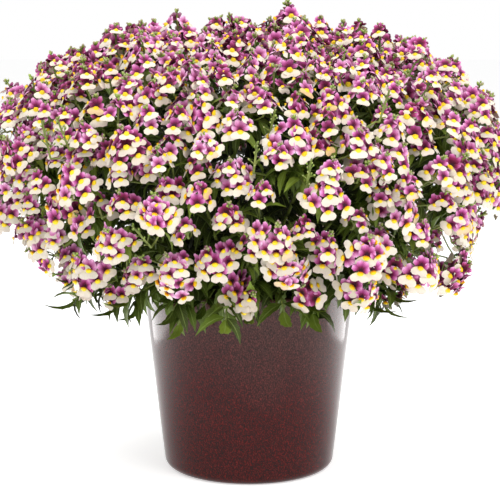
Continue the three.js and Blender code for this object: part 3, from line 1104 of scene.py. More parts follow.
@dataclass(frozen=True)
class PalateFinish:
    """Downy bosses: bright yellow, orange where they close the throat."""

    name: str = "nemesia_palate"
    colours: Stops = ((0.0, "#A84A00"), (0.13, "#DE7C00"), (0.3, "#F0BC06"), (0.8, "#F2D830"))

    def build(self) -> Material:
        """Returns the material."""
        material, node, shader = new_finish(self.name)
        blade = node("UVMap", uv_map=BLADE_MAP)
        along = node("SeparateXYZ", {0: blade}).outputs["Y"]
        yellow = node("ValToRGB", {"Fac": along}, self.colours)
        down = node("TexNoise", {"Vector": blade.outputs["UV"], "Scale": 22.0, "Detail": 1.0})
        height = {"Height": down.outputs["Fac"], "Strength": 0.3, "Distance": 0.2 * MM}
        connect(shader, {"Base Color": yellow, "Normal": node("Bump", height)})
        connect(shader, {"Roughness": 0.7, "IOR": 1.35})
        return material


@dataclass(frozen=True)
class LeafFinish:
    """Living leaf: a satin skin, a pale midrib, side veins and a green that varies from leaf to
    leaf, darker where its tint carries painted shade.
    """

    name: str = "nemesia_leaf"
    side_veins: float = 9.0
    blotches: float = 180.0
    green: Stops = ((0.0, "#222A08"), (0.3, "#3A4710"), (0.65, "#5A701E"), (1.0, "#8EA23A"))
    vein: str = "#98AC5E"

    def build(self) -> Material:
        """Returns the material."""
        material, node, shader = new_finish(self.name)
        split = node("SeparateXYZ", {0: node("UVMap", uv_map=BLADE_MAP)})
        tint = node("Attribute", attribute_name=TINT).outputs["Fac"]
        place = node("TexCoord").outputs["Object"]
        # The tint picks the green: on the sprays' leaves it is painted shade, darker deeper in the
        # plant.
        green = node("ValToRGB", {"Fac": tint}, self.green)
        blotch = node("TexNoise", {"Vector": place, "Scale": self.blotches, "Detail": 2.0})
        span = {"From Min": 0.3, "From Max": 0.7, "To Min": 0.8}
        dark = node("MapRange", {"Value": blotch.outputs["Fac"], **span})
        mottling = {0: 1.0, 6: green, 7: dark}
        mottled = node("Mix", mottling, data_type="RGBA", blend_type="MULTIPLY")
        off_middle = node("Math", {0: split.outputs["X"], 1: 0.5}, operation="SUBTRACT")
        out = node("Math", {0: off_middle}, operation="ABSOLUTE")
        midrib = node("MapRange", {"Value": out, "From Min": 0.075, "From Max": 0.02})
        slope = {0: out, 1: -0.5, 2: split.outputs["Y"]}
        slant = node("Math", slope, operation="MULTIPLY_ADD")
        ribs = node("Math", {0: slant, 1: self.side_veins * FULL_TURN}, operation="MULTIPLY")
        wave = node("Math", {0: ribs}, operation="COSINE")
        side_rib = node("MapRange", {"Value": wave, "From Min": 0.8, "To Max": 0.4})
        veins = node("Math", {0: midrib, 1: side_rib}, operation="MAXIMUM")
        vein_share = node("Math", {0: veins, 1: 0.45}, operation="MULTIPLY")
        veining = {0: vein_share, 6: mottled, 7: linear(self.vein)}
        relief = node("Bump", {"Height": veins, "Strength": 0.4, "Distance": 0.3 * MM}, invert=True)
        connect(shader, {"Base Color": node("Mix", veining, data_type="RGBA"), "Normal": relief})
        connect(shader, {"Roughness": 0.52, "IOR": 1.4, "Specular IOR Level": 0.35})
        return material


@dataclass(frozen=True)
class StemFinish:
    """Soft green stem tissue, a little uneven in colour along its length."""

    name: str = "nemesia_stem"
    green: Stops = ((0.25, "#525E22"), (0.5, "#6E7C34"), (0.75, "#90984E"))
    flush: float = 60.0

    def build(self) -> Material:
        """Returns the material."""
        material, node, shader = new_finish(self.name)
        place = node("TexCoord").outputs["Object"]
        flush = node("TexNoise", {"Vector": place, "Scale": self.flush, "Detail": 3.0})
        green = node("ValToRGB", {"Fac": flush.outputs["Fac"]}, self.green)
        connect(shader, {"Base Color": green, "Roughness": 0.5, "IOR": 1.45})
        return material


@dataclass(frozen=True)
class BudFinish:
    """Young green tissue: fresh at the root and flushed with mauve at the tip."""

    name: str = "nemesia_bud"
    fresh: Stops = ((0.0, "#466E22"), (0.5, "#7A9A38"), (1.0, "#A6B658"))
    flushed: Stops = ((0.0, "#4C7626"), (0.5, "#8C9048"), (0.85, "#A8689A"))

    def build(self) -> Material:
        """Returns the material."""
        material, node, shader = new_finish(self.name)
        along = node("SeparateXYZ", {0: node("UVMap", uv_map=BLADE_MAP)}).outputs["Y"]
        tint = node("Attribute", attribute_name=TINT).outputs["Fac"]
        fresh = node("ValToRGB", {"Fac": along}, self.fresh)
        flushed = node("ValToRGB", {"Fac": along}, self.flushed)
        toned = node("Mix", {0: tint, 6: fresh, 7: flushed}, data_type="RGBA")
        connect(shader, {"Base Color": toned, "Roughness": 0.5, "IOR": 1.45})
        return material


@dataclass(frozen=True)
class StonewareGlazeFinish:
    """Reduction-fired stoneware glaze: dark red flecks in a brown-black ground under a clear gloss.

    The flecks are about 1 mm, drawn a little coarser than the real ones so that they show. A grey
    haze lies over the upper part, in clouds of some 60 mm.
    """

    name: str = "oxblood_stoneware_glaze"
    fleck: float = 1.0 * MM
    cloud: float = 60 * MM
    haze_span: Pair = (20 * MM, 185 * MM)
    red: Stops = ((0.34, "#180404"), (0.47, "#2D0505"), (0.58, "#470A08"), (0.71, "#701410"))
    grey: Stops = ((0.32, "#2A1817"), (0.46, "#3E2724"), (0.56, "#503430"), (0.7, "#664844"))

    def build(self) -> Material:
        """Returns the material."""
        material, node, shader = new_finish(self.name)
        place = node("TexCoord").outputs["Object"]
        squeezed = node("Mapping", {"Vector": place, "Scale": (1, 1, 0.62)})
        grain = {"Scale": 1.0 / self.fleck, "Detail": 2.0, "Roughness": 0.6}
        flecks = node("TexNoise", {"Vector": squeezed, **grain}).outputs["Fac"]
        clouds = node("TexNoise", {"Vector": place, "Scale": 0.5 / self.cloud, "Detail": 3.0})
        low, high = self.haze_span
        level = node("SeparateXYZ", {0: place}).outputs["Z"]
        height = node("MapRange", {"Value": level, "From Min": low, "From Max": high})
        rising = {0: clouds.outputs["Fac"], 1: 0.9, 2: height}
        haze = node("Math", rising, operation="MULTIPLY_ADD")
        haze_share = node("MapRange", {"Value": haze, "From Min": 0.82, "From Max": 1.45})
        red = node("ValToRGB", {"Fac": flecks}, self.red)
        grey = node("ValToRGB", {"Fac": flecks}, self.grey)
        glaze = node("Mix", {0: haze_share, 6: red, 7: grey}, data_type="RGBA")
        peel = node("TexNoise", {"Vector": place, "Scale": 90.0, "Detail": 2.0})
        relief = {"Height": peel.outputs["Fac"], "Strength": 0.12, "Distance": 0.5 * MM}
        connect(shader, {"Base Color": glaze, "Normal": node("Bump", relief)})
        connect(shader, {"Roughness": 0.12, "IOR": 1.5, "Specular IOR Level": 0.2})
        return material


@dataclass(frozen=True)
class CompostFinish:
    """Damp potting compost: dark brown fibre and crumb of 1 to 4 mm."""

    name: str = "potting_compost"
    crumb: float = 3 * MM
    brown: Stops = ((0.3, "#120C08"), (0.5, "#2A1D14"), (0.7, "#4A3625"))

    def build(self) -> Material:
        """Returns the material."""
        material, node, shader = new_finish(self.name)
        place = node("TexCoord").outputs["Object"]
        crumbs = node("TexNoise", {"Vector": place, "Scale": 0.5 / self.crumb, "Detail": 4.0})
        brown = node("ValToRGB", {"Fac": crumbs.outputs["Fac"]}, self.brown)
        height = {"Height": crumbs.outputs["Fac"], "Strength": 0.8, "Distance": 1.5 * MM}
        connect(shader, {"Base Color": brown, "Normal": node("Bump", height)})
        connect(shader, {"Roughness": 0.95, "IOR": 1.4})
        return material


# Pot and compost


@dataclass(frozen=True)
class GlazedPot:
    """The thrown pot: a wall that widens to the rim, a rounded lip, a foot ring and a drain hole."""

    height: float = 190 * MM
    foot_radius: float = 85.5 * MM
    slope: float = 23 * MM
    flare: float = -1.5 * MM
    wall: float = 7 * MM
    lip: float = 4 * MM
    floor: float = 12 * MM
    corner: float = 9 * MM
    foot_recess: float = 3 * MM
    foot_ring: float = 14 * MM
    foot_chamfer: Pair = (0.6 * MM, 0.5 * MM)
    drain_radius: float = 9 * MM
    inner_corner: float = 4 * MM
    corner_steps: int = 6
    wall_steps: int = 14
    lip_steps: int = 8
    sides: int = 112
    sharp: float = math.radians(40)

    def wall_radius(self, height: float) -> float:
        """Returns the outer radius at a height."""
        share = height / self.height
        return self.foot_radius + self.slope * share + self.flare * share * share

    def profile(self) -> list[Pair]:
        """Returns the closed section as radius and height."""
        foot_outer = self.wall_radius(self.corner) - self.corner
        foot_inner = foot_outer - self.foot_ring
        points = [(self.drain_radius, self.foot_recess)]
        points.append((foot_inner - self.foot_recess, self.foot_recess))
        points.append((foot_inner - self.foot_chamfer[0], self.foot_chamfer[1]))
        points.append((foot_inner, 0.0))
        for i in range(self.corner_steps + 1):
            angle = i / self.corner_steps * math.pi / 2
            radius = self.wall_radius(self.corner) - self.corner * (1 - math.sin(angle))
            points.append((radius, self.corner * (1 - math.cos(angle))))
        brim = self.height - self.lip
        for i in range(1, self.wall_steps + 1):
            height = self.corner + (brim - self.corner) * i / self.wall_steps
            points.append((self.wall_radius(height), height))
        half = self.wall / 2
        middle = self.wall_radius(self.height) - half
        for i in range(1, self.lip_steps):
            angle = i / self.lip_steps * math.pi
            points.append((middle + half * math.cos(angle), brim + self.lip * math.sin(angle)))
        for i in range(self.corner_steps + 1):
            height = brim - (brim - self.floor) * i / self.corner_steps
            corner = self.inner_corner * (i == self.corner_steps)
            points.append((self.wall_radius(height) - self.wall - corner, height))
        points.append((self.drain_radius, self.floor))
        return points

    def build(self, finish: Material) -> None:
        """Makes the pot with its glaze."""
        section = [(radius, 0, height) for radius, height in self.profile()]
        bm = turn_section(section, self.sides, closed=True)
        bmesh.ops.recalc_face_normals(bm, faces=bm.faces[:])
        mesh = close_shape(bm, "pot_glazed")
        mesh.shade_smooth()
        mesh.set_sharp_from_angle(angle=self.sharp)
        piece = add_piece("pot_glazed", mesh, [finish])
        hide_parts("pot")


@dataclass(frozen=True)
class CompostBed:
    """The compost that fills the pot, crumbly on top. Its crumbs' size is in millimetres."""

    layout: Layout
    pot: GlazedPot
    rings: int = 22
    sides: int = 72
    crumbs: int = 260
    crumb_edge: float = 5 * MM
    crumb_size: Pair = (1.2, 2.8)
    crumb_stretch: Pair = (0.8, 1.6)
    crumb_flatness: float = 0.7
    crumb_sunk: float = 0.2
    roughness: float = 1.6 * MM
    grain: float = 260.0
    side_top: float = 160 * MM
    clear: float = 0.6 * MM

    def build(self, finish: Material) -> None:
        """Makes the compost with its finish."""
        brim = self.pot.wall_radius(self.layout.soil_level) - self.pot.wall - self.clear
        floor = self.pot.floor + self.clear
        foot = self.pot.wall_radius(floor) - self.pot.wall - self.pot.inner_corner - self.clear
        section = [(0, 0, floor), (foot, 0, floor)]
        for i in range(self.rings + 1):
            radius = brim * (1 - i / self.rings)
            section.append((radius, 0, self.layout.soil_height(radius) - self.clear))
        bm = turn_section(section, self.sides, closed=False)
        for vert in bm.verts:
            inside = math.hypot(vert.co.x, vert.co.y) < brim - 1 * MM
            if vert.co.z > self.side_top and inside:
                vert.co.z += self.roughness * noise.noise(vert.co * self.grain)
        random = SeededRandom(Series.CRUMBS)
        for _ in range(self.crumbs):
            self._add_crumb(bm, (brim - self.crumb_edge) * math.sqrt(random.share()), random)
        bmesh.ops.recalc_face_normals(bm, faces=bm.faces[:])
        mesh = close_shape(bm, "compost_bed")
        mesh.shade_smooth()
        piece = add_piece("compost_bed", mesh, [finish])
        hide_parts("soil")

    def _add_crumb(self, bm: BMesh, radius: float, random: SeededRandom) -> None:
        """Adds a crumb that lies on the compost at a distance from the axis."""
        turn = random.between(0, FULL_TURN)
        size = random.between(*self.crumb_size) * MM
        centre = Vector((radius * math.cos(turn), radius * math.sin(turn), 0))
        centre.z = self.layout.soil_height(radius) - self.crumb_sunk * size
        length = size * random.between(*self.crumb_stretch)
        stretch = Matrix.Diagonal((length, size, self.crumb_flatness * size, 1))
        spin = Matrix.Rotation(random.between(0, math.pi), 4, "Z")
        place = Matrix.Translation(centre) @ spin @ stretch
        bmesh.ops.create_icosphere(bm, subdivisions=1, radius=1, matrix=place)


# The plant


@dataclass
class Wardrobe:
    """The shapes that are stamped and the finishes that they wear."""

    florets: list[Mesh]
    light_florets: list[Mesh]
    plain_leaves: list[Mesh]
    fine_leaves: list[Mesh]
    bud: Mesh
    stalk: Mesh
    calyx: Mesh
    petal_finishes: list[Material]
    green_finishes: list[Material]

    @classmethod
    def filled(cls) -> "Wardrobe":
        """Returns the wardrobe with everything made."""
        light = Floret(lobe_rings=2, palate_sides=6, lip_edge=LIGHT_LIP_EDGE)
        plain = [
            LeafBlade(length * MM, width * MM, PLAIN_STATIONS, droop)
            for length, width, droop in ((33, 10.5, 0.2), (28, 9.5, 0.35), (38, 12, 0.1))
        ]
        fine = [
            LeafBlade(length * MM, width * MM, FINE_STATIONS, droop, arch=0.12)
            for length, width, droop in ((33, 12, 0.25), (28, 10.5, 0.4), (36, 13, 0.12))
        ]
        petals = (UpperPetalFinish(), LipPetalFinish(), PalateFinish())
        greens = (StemFinish(), LeafFinish(), BudFinish())
        return cls(
            florets=Floret().shapes(),
            light_florets=light.shapes(),
            plain_leaves=[leaf.shape(f"leaf_{i}") for i, leaf in enumerate(plain)],
            fine_leaves=[leaf.shape(f"fine_leaf_{i}") for i, leaf in enumerate(fine)],
            bud=Bud().shape(),
            stalk=Stalk().stalk(),
            calyx=Stalk().calyx(),
            petal_finishes=[finish.build() for finish in petals],
            green_finishes=[finish.build() for finish in greens],
        )


@dataclass
class Growth:
    """What a stem grows with: its shapes, its random series and the clusters that it fills."""

    wardrobe: Wardrobe
    random: SeededRandom
    greens: Cluster = field(default_factory=Cluster)
    flowers: Cluster = field(default_factory=Cluster)

    def add_stalk(self, stretch: Matrix) -> None:
        """Adds a thin stalk."""
        self.greens.stamp(self.wardrobe.stalk, stretch, STEM_TINT)

    def finish_greens(self, name: str) -> Object:
        """Returns the green parts as a piece."""
        return self.greens.finish(name, self.wardrobe.green_finishes, "foliage")

    def finish_flowers(self, name: str) -> Object:
        """Returns the flowers as a piece."""
        return self.flowers.finish(name, self.wardrobe.petal_finishes, "blooms")


@dataclass(frozen=True)
class Whorl:
    """A ring of florets round a head's axis. The younger ones, higher up, are deeper in colour."""

    least: int
    most: int
    reach: float
    height: float
    raised: float
    size: float
    deeper: float


FULL_WHORLS = (
    Whorl(5, 6, 15.5 * MM, -3.0 * MM, 0.68, 0.98, -0.08),
    Whorl(3, 4, 9.4 * MM, 6.5 * MM, 0.84, 0.96, 0.0),
    Whorl(1, 2, 3.6 * MM, 13.0 * MM, 1.1, 0.84, 0.15),
)
FILLER_WHORLS = (
    Whorl(3, 4, 10.0 * MM, -2.0 * MM, 0.72, 1.0, -0.06),
    Whorl(2, 2, 4.6 * MM, 6.5 * MM, 0.92, 0.92, 0.12),
)


@dataclass(frozen=True)
class FlowerHead:
    """How a head is put together: rings of florets round an axis that grows upward, and buds.

    A head at the plant's side has few florets at its back, and all of them look out a little.
    Lips hang down in most heads. In a few, seen from above, they spread like the spokes of a wheel.
    The buds' heights are in millimetres, and so are the pods' outs: the lowest one's distance from
    the axis, and how much of it is gone at the top.
    """

    full_reach: float = 25 * MM
    least_upright: float = 0.1
    most_upright: float = 1.0
    back_gap: float = 0.36
    outlook: float = 0.5
    wheel_share: float = 0.28
    wheel: float = 0.85
    hanging: Pair = (0.1, 0.5)
    turn_stray: float = 0.25
    reaches: Pair = (0.86, 1.1)
    height_stray: float = 2 * MM
    raised_stray: float = 0.24
    roll_stray: float = 0.36
    nod_stray: float = 0.25
    sizes: Pair = (0.9, 1.08)
    pale_share: float = 0.18
    pale_tones: Pair = (0.0, 0.25)
    middle_share: float = 0.46
    middle_tones: Pair = (0.3, 0.62)
    deep_tones: Pair = (0.68, 1.0)
    tone_stray: float = 0.24
    aged_share: float = 0.015
    aged: Pair = (0.5, 1.0)
    fresh: Pair = (0.0, 0.12)
    stalk_drop: float = 7 * MM
    stalk_end: float = 6.2 * MM
    calyx_back: float = 6.4 * MM
    calyx_tint: float = 0.4
    axis_bend: float = 12 * MM
    least_buds: int = 4
    more_buds: int = 4
    bud_height: float = 4.5 * MM
    bud_heights: Pair = (-2.5, 1.0)
    bud_lean: float = 0.25
    bud_lean_step: float = 0.13
    bud_out: float = 0.8 * MM
    bud_sizes: Pair = (0.7, 1.0)
    bud_tints: Pair = (0.0, 0.7)
    spike_length: float = 24 * MM
    spike_start: float = 0.25
    spike_stretch: float = 1.25
    spike_pods: int = 10
    pod_leans: Pair = (0.7, 1.2)
    pod_outs: Pair = (7.0, 5.5)
    pod_sizes: Pair = (0.55, 0.85)
    pod_tints: Pair = (0.0, 0.35)

    def dress(self, head: Head, growth: Growth) -> None:
        """Adds a head's florets, stalks and buds.

        Args:
            head: The head.
            growth: What it grows with.
        """
        random = growth.random
        size = head.radius / self.full_reach
        place = self._frame(head, random) @ Matrix.Scale(size, 4)
        if head.kind is HeadKind.BUDDING:
            self._add_spike(head, place, growth)
            return
        tone = self._tone(random)
        full = head.kind is HeadKind.FULL
        shapes = growth.wardrobe.florets if full else growth.wardrobe.light_florets
        whorls = FULL_WHORLS if full else FILLER_WHORLS
        spoked = random.share() < self.wheel_share
        wheel = self.wheel if spoked else random.between(*self.hanging)
        outward = Vector((head.facing.x, head.facing.y, 0))
        spread = math.pi * (1 - self.back_gap * outward.length)
        for whorl in whorls:
            count = whorl.least + int(random.share() * (whorl.most - whorl.least + 1))
            for i in range(count):
                turn = spread * (2 * (i + 0.5 + random.about(0, self.turn_stray)) / count - 1)
                reach = whorl.reach * random.between(*self.reaches)
                height = whorl.height + random.about(0, self.height_stray)
                point = place @ Vector((reach * math.cos(turn), reach * math.sin(turn), height))
                arm = (point - place @ Vector((0, 0, height))).normalized()
                out = Vector((arm.x, arm.y, 0)).normalized() + outward * self.outlook
                raised = whorl.raised + random.about(0, self.raised_stray)
                face = out.normalized() * math.cos(raised) + UP * math.sin(raised)
                face = face.lerp(head.facing + arm * 0.5, wheel).normalized()
                crown = UP.lerp(head.facing * 0.5 - arm, wheel)
                lip = (face * face.dot(crown) - crown).normalized()
                spot = (
                    turned_frame(point, lip, face.cross(lip), face)
                    @ Matrix.Rotation(random.about(0, self.roll_stray), 4, "Z")
                    @ Matrix.Rotation(random.about(0, self.nod_stray), 4, "X")
                    @ Matrix.Scale(size * whorl.size * random.between(*self.sizes), 4)
                )
                root = place @ Vector((0, 0, height - self.stalk_drop))
                self._add_floret(spot, root, tone + whorl.deeper, shapes, growth)
        top = whorls[-1].height + self.bud_height
        self._add_axis(head, place, growth, top)
        count = self.least_buds + int(self.more_buds * random.share())
        self._add_buds(place, growth, count, top)

    def _frame(self, head: Head, random: SeededRandom) -> Matrix:
        """Returns a head's frame: its axis turned up along Z, and X pointing out of the plant."""
        upright = random.between(self.least_upright, self.most_upright)
        axis = (head.facing + UP * upright).normalized()
        across = axis.cross(Vector((head.point.x, head.point.y, 0))).normalized()
        return turned_frame(head.point, across.cross(axis), across, axis)

    def _tone(self, random: SeededRandom) -> float:
        """Returns a head's tint: most are mauve, some pale and some deep plum."""
        fate = random.share()
        if fate < self.pale_share:
            return random.between(*self.pale_tones)
        if fate < self.pale_share + self.middle_share:
            return random.between(*self.middle_tones)
        return random.between(*self.deep_tones)

    def _add_floret(
        self, spot: Matrix, root: Vector, tone: float, shapes: Sequence[Mesh], growth: Growth
    ) -> None:
        """Adds a floret with its stalk and calyx.

        Args:
            spot: The floret's frame.
            root: Where its stalk leaves the head's axis.
            tone: The head's tint.
            shapes: The florets to choose from.
            growth: What it grows with.
        """
        random = growth.random
        shape = random.pick(shapes)
        tint = min(1.0, max(0.0, tone + random.about(0, self.tone_stray)))
        age = random.between(*(self.aged if random.share() < self.aged_share else self.fresh))
        growth.flowers.stamp(shape, spot, tint, age)
        growth.add_stalk(between_points(root, spot @ Vector((0, 0, -self.stalk_end))))
        place = spot @ Matrix.Translation((0, 0, -self.calyx_back))
        growth.greens.stamp(growth.wardrobe.calyx, place, self.calyx_tint)

    def _add_axis(self, head: Head, place: Matrix, growth: Growth, height: float) -> None:
        """Adds the axis of a head, from the end of its branch to its buds."""
        bend, top = place @ Vector((0, 0, -self.axis_bend)), place @ Vector((0, 0, height))
        for start, end in ((head.foot, bend), (bend, top)):
            growth.add_stalk(between_points(start, end) @ Matrix.Diagonal((2, 2, 1, 1)))

    def _add_buds(self, place: Matrix, growth: Growth, count: int, height: float) -> None:
        """Adds a cluster of buds at a height on a head's axis."""
        random = growth.random
        for i in range(count):
            spot = (
                place
                @ Matrix.Translation((0, 0, height + random.between(*self.bud_heights) * MM))
                @ Matrix.Rotation(i * GOLDEN_ANGLE, 4, "Z")
                @ Matrix.Rotation(self.bud_lean + self.bud_lean_step * i, 4, "Y")
                @ Matrix.Translation((0, 0, self.bud_out))
                @ Matrix.Scale(random.between(*self.bud_sizes), 4)
            )
            growth.greens.stamp(growth.wardrobe.bud, spot, random.between(*self.bud_tints))

    def _add_spike(self, head: Head, place: Matrix, growth: Growth) -> None:
        """Adds a head that is all buds and pods, each on a thin stalk along a long axis."""
        random = growth.random
        self._add_axis(head, place, growth, self.spike_length)
        lowest, gone = self.pod_outs
        for i in range(self.spike_pods):
            share = i / self.spike_pods
            height = (share - self.spike_start) * self.spike_length * self.spike_stretch
            root = Vector((0, 0, height))
            spot = (
                place
                @ Matrix.Translation(root)
                @ Matrix.Rotation(i * GOLDEN_ANGLE, 4, "Z")
                @ Matrix.Rotation(random.between(*self.pod_leans) * (1 - 0.5 * share), 4, "Y")
                @ Matrix.Translation((0, 0, (lowest - gone * share) * MM))
                @ Matrix.Scale(random.between(*self.pod_sizes), 4)
            )
            growth.greens.stamp(growth.wardrobe.bud, spot, random.between(*self.pod_tints))
            growth.add_stalk(between_points(place @ root, spot @ Vector()))


@dataclass(frozen=True)
class Leafing:
    """How leaves stand along a stem: in opposite pairs, each pair a quarter turn from the last."""

    spacing: float = 9 * MM
    lean: float = 1.0
    sag: float = 0.35
    quarter_stray: float = 0.35
    lean_stray: float = 0.22
    sag_range: Pair = (0.3, 1.2)
    spacing_range: Pair = (0.8, 1.2)
    tint_stray: float = 0.22
    size_stray: float = 0.16
    reach: float = 28 * MM
    tip_back: float = 5 * MM

    def dress(
        self,
        path: Sequence[Vector],
        stretch: Pair,
        shapes: Sequence[Mesh],
        growth: Growth,
        leaf_at: LeafRule,
    ) -> None:
        """Adds leaf pairs along a path.

        Args:
            path: The stem's middle line.
            stretch: Where the first and the last pair may stand, as distances along it.
            shapes: The leaf shapes.
            growth: What they grow with.
            leaf_at: The middle tint and size of a leaf with its tip at a point, if one may be there.
        """
        random = growth.random
        pair = 0
        distance = stretch[0]
        while distance < stretch[1]:
            point, axis = along_path(path, distance)
            side = axis.cross(UP)
            if side.length < 0.05:
                side = Vector((1, 0, 0))
            side.normalize()
            quarter = (pair % 2) * math.pi / 2 + random.about(0, self.quarter_stray)
            for hand in (0, math.pi):
                out = Matrix.Rotation(quarter + hand, 3, axis) @ side
                lean = self.lean + random.about(0, self.lean_stray)
                along = axis * math.cos(lean) + out * math.sin(lean)
                along = (along - UP * self.sag * random.between(*self.sag_range)).normalized()
                face = UP * 0.8 + axis * 0.5 + out * 0.2
                across = face.cross(along).normalized()
                shape = random.pick(shapes)
                stray = random.about(0, self.tint_stray)
                scale = random.about(1.0, self.size_stray)
                leaf = leaf_at(point + along * self.reach)
                if leaf is not None:
                    place = turned_frame(point, along, across, along.cross(across))
                    tint = min(1.0, max(0.0, leaf[0] + stray))
                    growth.greens.stamp(shape, place @ Matrix.Scale(scale * leaf[1], 4), tint)
            pair += 1
            distance += self.spacing * random.between(*self.spacing_range)

    def end(self, path: Sequence[Vector], shape: Mesh, growth: Growth, least: float) -> None:
        """Adds the leaf that ends a stem, with a tint from a least one to 0.9."""
        tip, axis = along_path(path, path_length(path) - self.tip_back)
        across = axis.cross(UP).normalized()
        place = turned_frame(tip, axis, across, axis.cross(across))
        growth.greens.stamp(shape, place, growth.random.between(least, 0.9))


@dataclass(frozen=True)
class FloweringSpray:
    """A spray in full: the stem, its branches, the leaves along them and the flower heads.

    A stem is bare at its start and end. The main stem's bare start is a share of its length.
    """

    layout: Layout
    wardrobe: Wardrobe
    stem_radii: Pair = (2.3 * MM, 1.2 * MM)
    branch_radii: Pair = (1.1 * MM, 0.85 * 1.1 * MM)
    branch_bow: Pair = (0.04, 0.12)
    filler_forks: Pair = (0.0, 0.6)
    leaf_depth: float = 9 * MM
    shade_depth: float = 95 * MM
    pot_margins: Pair = (22 * MM, 6 * MM)
    light_tint: float = 0.84
    light_size: float = 0.55
    shade_growth: float = 0.6
    main_bare: Pair = (0.24, 8 * MM)
    branch_bare: Pair = (4 * MM, 5 * MM)
    branch_leafing: Leafing = Leafing(spacing=9.5 * MM)

    def build(self, number: int, spray: Spray) -> None:
        """Makes a spray's two pieces, its flowers and its greenery.

        Args:
            number: The spray's number, from 1.
            spray: Its layout.
        """
        growth = Growth(self.wardrobe, SeededRandom(Series.SPRAYS + number))
        random, layout = growth.random, self.layout
        feet = [head.foot for head in spray.heads]
        middle = sum(feet, Vector()) / len(feet)
        fork = middle - spray.normal * layout.fork_depth
        bottom, top = layout.stem_start(spray.soil_foot)
        knee = top.lerp(fork, layout.knee_share) + UP * spray.arch
        first, *rest = sorted(spray.heads, key=lambda head: (head.point - middle).length)
        main = smooth_path([bottom, top, knee, fork, first.foot], 4)
        growth.greens.stem(main, self.stem_radii, 6)
        branches = []
        for i, head in enumerate(rest):
            start = fork.lerp(first.foot, layout.fork_spread * i / len(spray.heads))
            branches.append(self._branch(start, head, random))
        for head in spray.fillers:
            start = fork.lerp(first.foot, random.between(*self.filler_forks))
            branches.append(self._branch(start, head, random))
        for path in branches:
            growth.greens.stem(path, self.branch_radii, 4)
        self._add_leaves(main, branches, growth)
        for head in [*spray.heads, *spray.fillers]:
            FlowerHead().dress(head, growth)
        name = f"spray_{number:02d}"
        petals = growth.finish_flowers(f"{name}_flowers")
        leaves = growth.finish_greens(f"{name}_greenery")
        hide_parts(name)
        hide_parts(name)

    def _branch(self, start: Vector, head: Head, random: SeededRandom) -> list[Vector]:
        """Returns the line of a branch, which bows a little on its way to a head."""
        middle = start.lerp(head.foot, 0.5)
        reach = (head.foot - start).length
        middle -= head.facing * reach * random.between(*self.branch_bow)
        return smooth_path([start, middle, head.foot], 2)

    def _leaf(self, tip: Vector) -> Pair | None:
        """Returns a leaf's tint and size, or none: smaller near the flowers, darker deeper in as
        painted shade.
        """
        depth = self.layout.dome.depth(tip)
        if depth < self.leaf_depth or not self.layout.clear_of_pot(tip, *self.pot_margins):
            return None
        # Painted shade: the tint falls from light_tint at the dome's surface to 0 at shade_depth
        # inside it.
        share = min(1.0, depth / self.shade_depth)
        return self.light_tint * (1 - share), self.light_size + self.shade_growth * share

    def _add_leaves(
        self, main: Sequence[Vector], branches: Iterable[Sequence[Vector]], growth: Growth
    ) -> None:
        """Adds the leaves of the stem and its branches, all of them below the flowers."""
        shapes = self.wardrobe.plain_leaves
        length = path_length(main)
        stretch = (self.main_bare[0] * length, length - self.main_bare[1])
        Leafing().dress(main, stretch, shapes, growth, self._leaf)
        for path in branches:
            stretch = (self.branch_bare[0], path_length(path) - self.branch_bare[1])
            self.branch_leafing.dress(path, stretch, shapes, growth, self._leaf)


@dataclass(frozen=True)
class LeafyShoot:
    """A leafy shoot that leans over the rim and hangs, with its leaves in pairs to its tip.

    It is bare at its start and end. The pair called leaf is the middle tint and the size of its
    leaves.
    """

    layout: Layout
    wardrobe: Wardrobe
    count: int = 14
    foot_radius: float = 92 * MM
    arch: float = 12 * MM
    reach: float = 56 * MM
    drop: float = 12 * MM
    stray: float = 10 * MM
    radii: Pair = (1.9 * MM, 1.0 * MM)
    bare: Pair = (40 * MM, 4 * MM)
    end_tint: float = 0.4
    leaf: Pair = (0.38, 0.85)
    inside_radius: float = 96 * MM
    inside_height: float = 165 * MM
    leafing: Leafing = Leafing(spacing=12 * MM, lean=0.85, sag=0.3)

    def build_all(self) -> None:
        """Makes the shoots where the solids have them."""
        random = SeededRandom(Series.SHOOTS)
        for i in range(self.count):
            reach = self.reach + self.stray * (2 * random.share() - 1)
            drop = self.drop + self.stray * (2 * random.share() - 1)
            self._build(i + 1, reach, drop)

    def _turn(self, node: str) -> float:
        """Returns where a shoot stands round the rim, from its solid's stem in the soil."""
        places = [vert.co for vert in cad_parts[node].data.vertices]
        low = [co for co in places if co.z < self.inside_height]
        inside = [co for co in low if math.hypot(co.x, co.y) < self.inside_radius]
        centre = sum(inside, Vector()) / len(inside)
        return math.atan2(centre.y, centre.x)

    def _leaf(self, tip: Vector) -> Pair | None:
        """Returns a leaf's tint and size, or none where its tip would be in the pot."""
        return self.leaf if self.layout.clear_of_pot(tip) else None

    def _build(self, number: int, reach: float, drop: float) -> None:
        """Makes one shoot.

        Args:
            number: Its number, from 1.
            reach: How far out its tip is from its foot.
            drop: How far its tip is below the rim.
        """
        name = f"shoot_{number:02d}"
        turn, rim, foot = self._turn(name), self.layout.pot_height, self.foot_radius

        def at(radius: float, height: float) -> Vector:
            """Returns the point at a radius and a height in the shoot's plane."""
            return Vector((radius * math.cos(turn), radius * math.sin(turn), height))

        over, end = rim + self.arch, foot + reach
        bends = [at(foot + self.arch, over), at(foot + reach / 2, over), at(end, rim - drop)]
        path = smooth_path([*self.layout.stem_start(at(foot, 0)), *bends], 4)
        growth = Growth(self.wardrobe, SeededRandom(Series.SHOOT_LEAVES + number))
        leaves = self.wardrobe.fine_leaves
        self.leafing.end(path, leaves[1], growth, self.end_tint)
        growth.greens.stem(path, self.radii, 6)
        stretch = (self.bare[0], path_length(path) - self.bare[1])
        self.leafing.dress(path, stretch, leaves, growth, self._leaf)
        piece = growth.finish_greens(f"{name}_leaves")
        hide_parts(name)


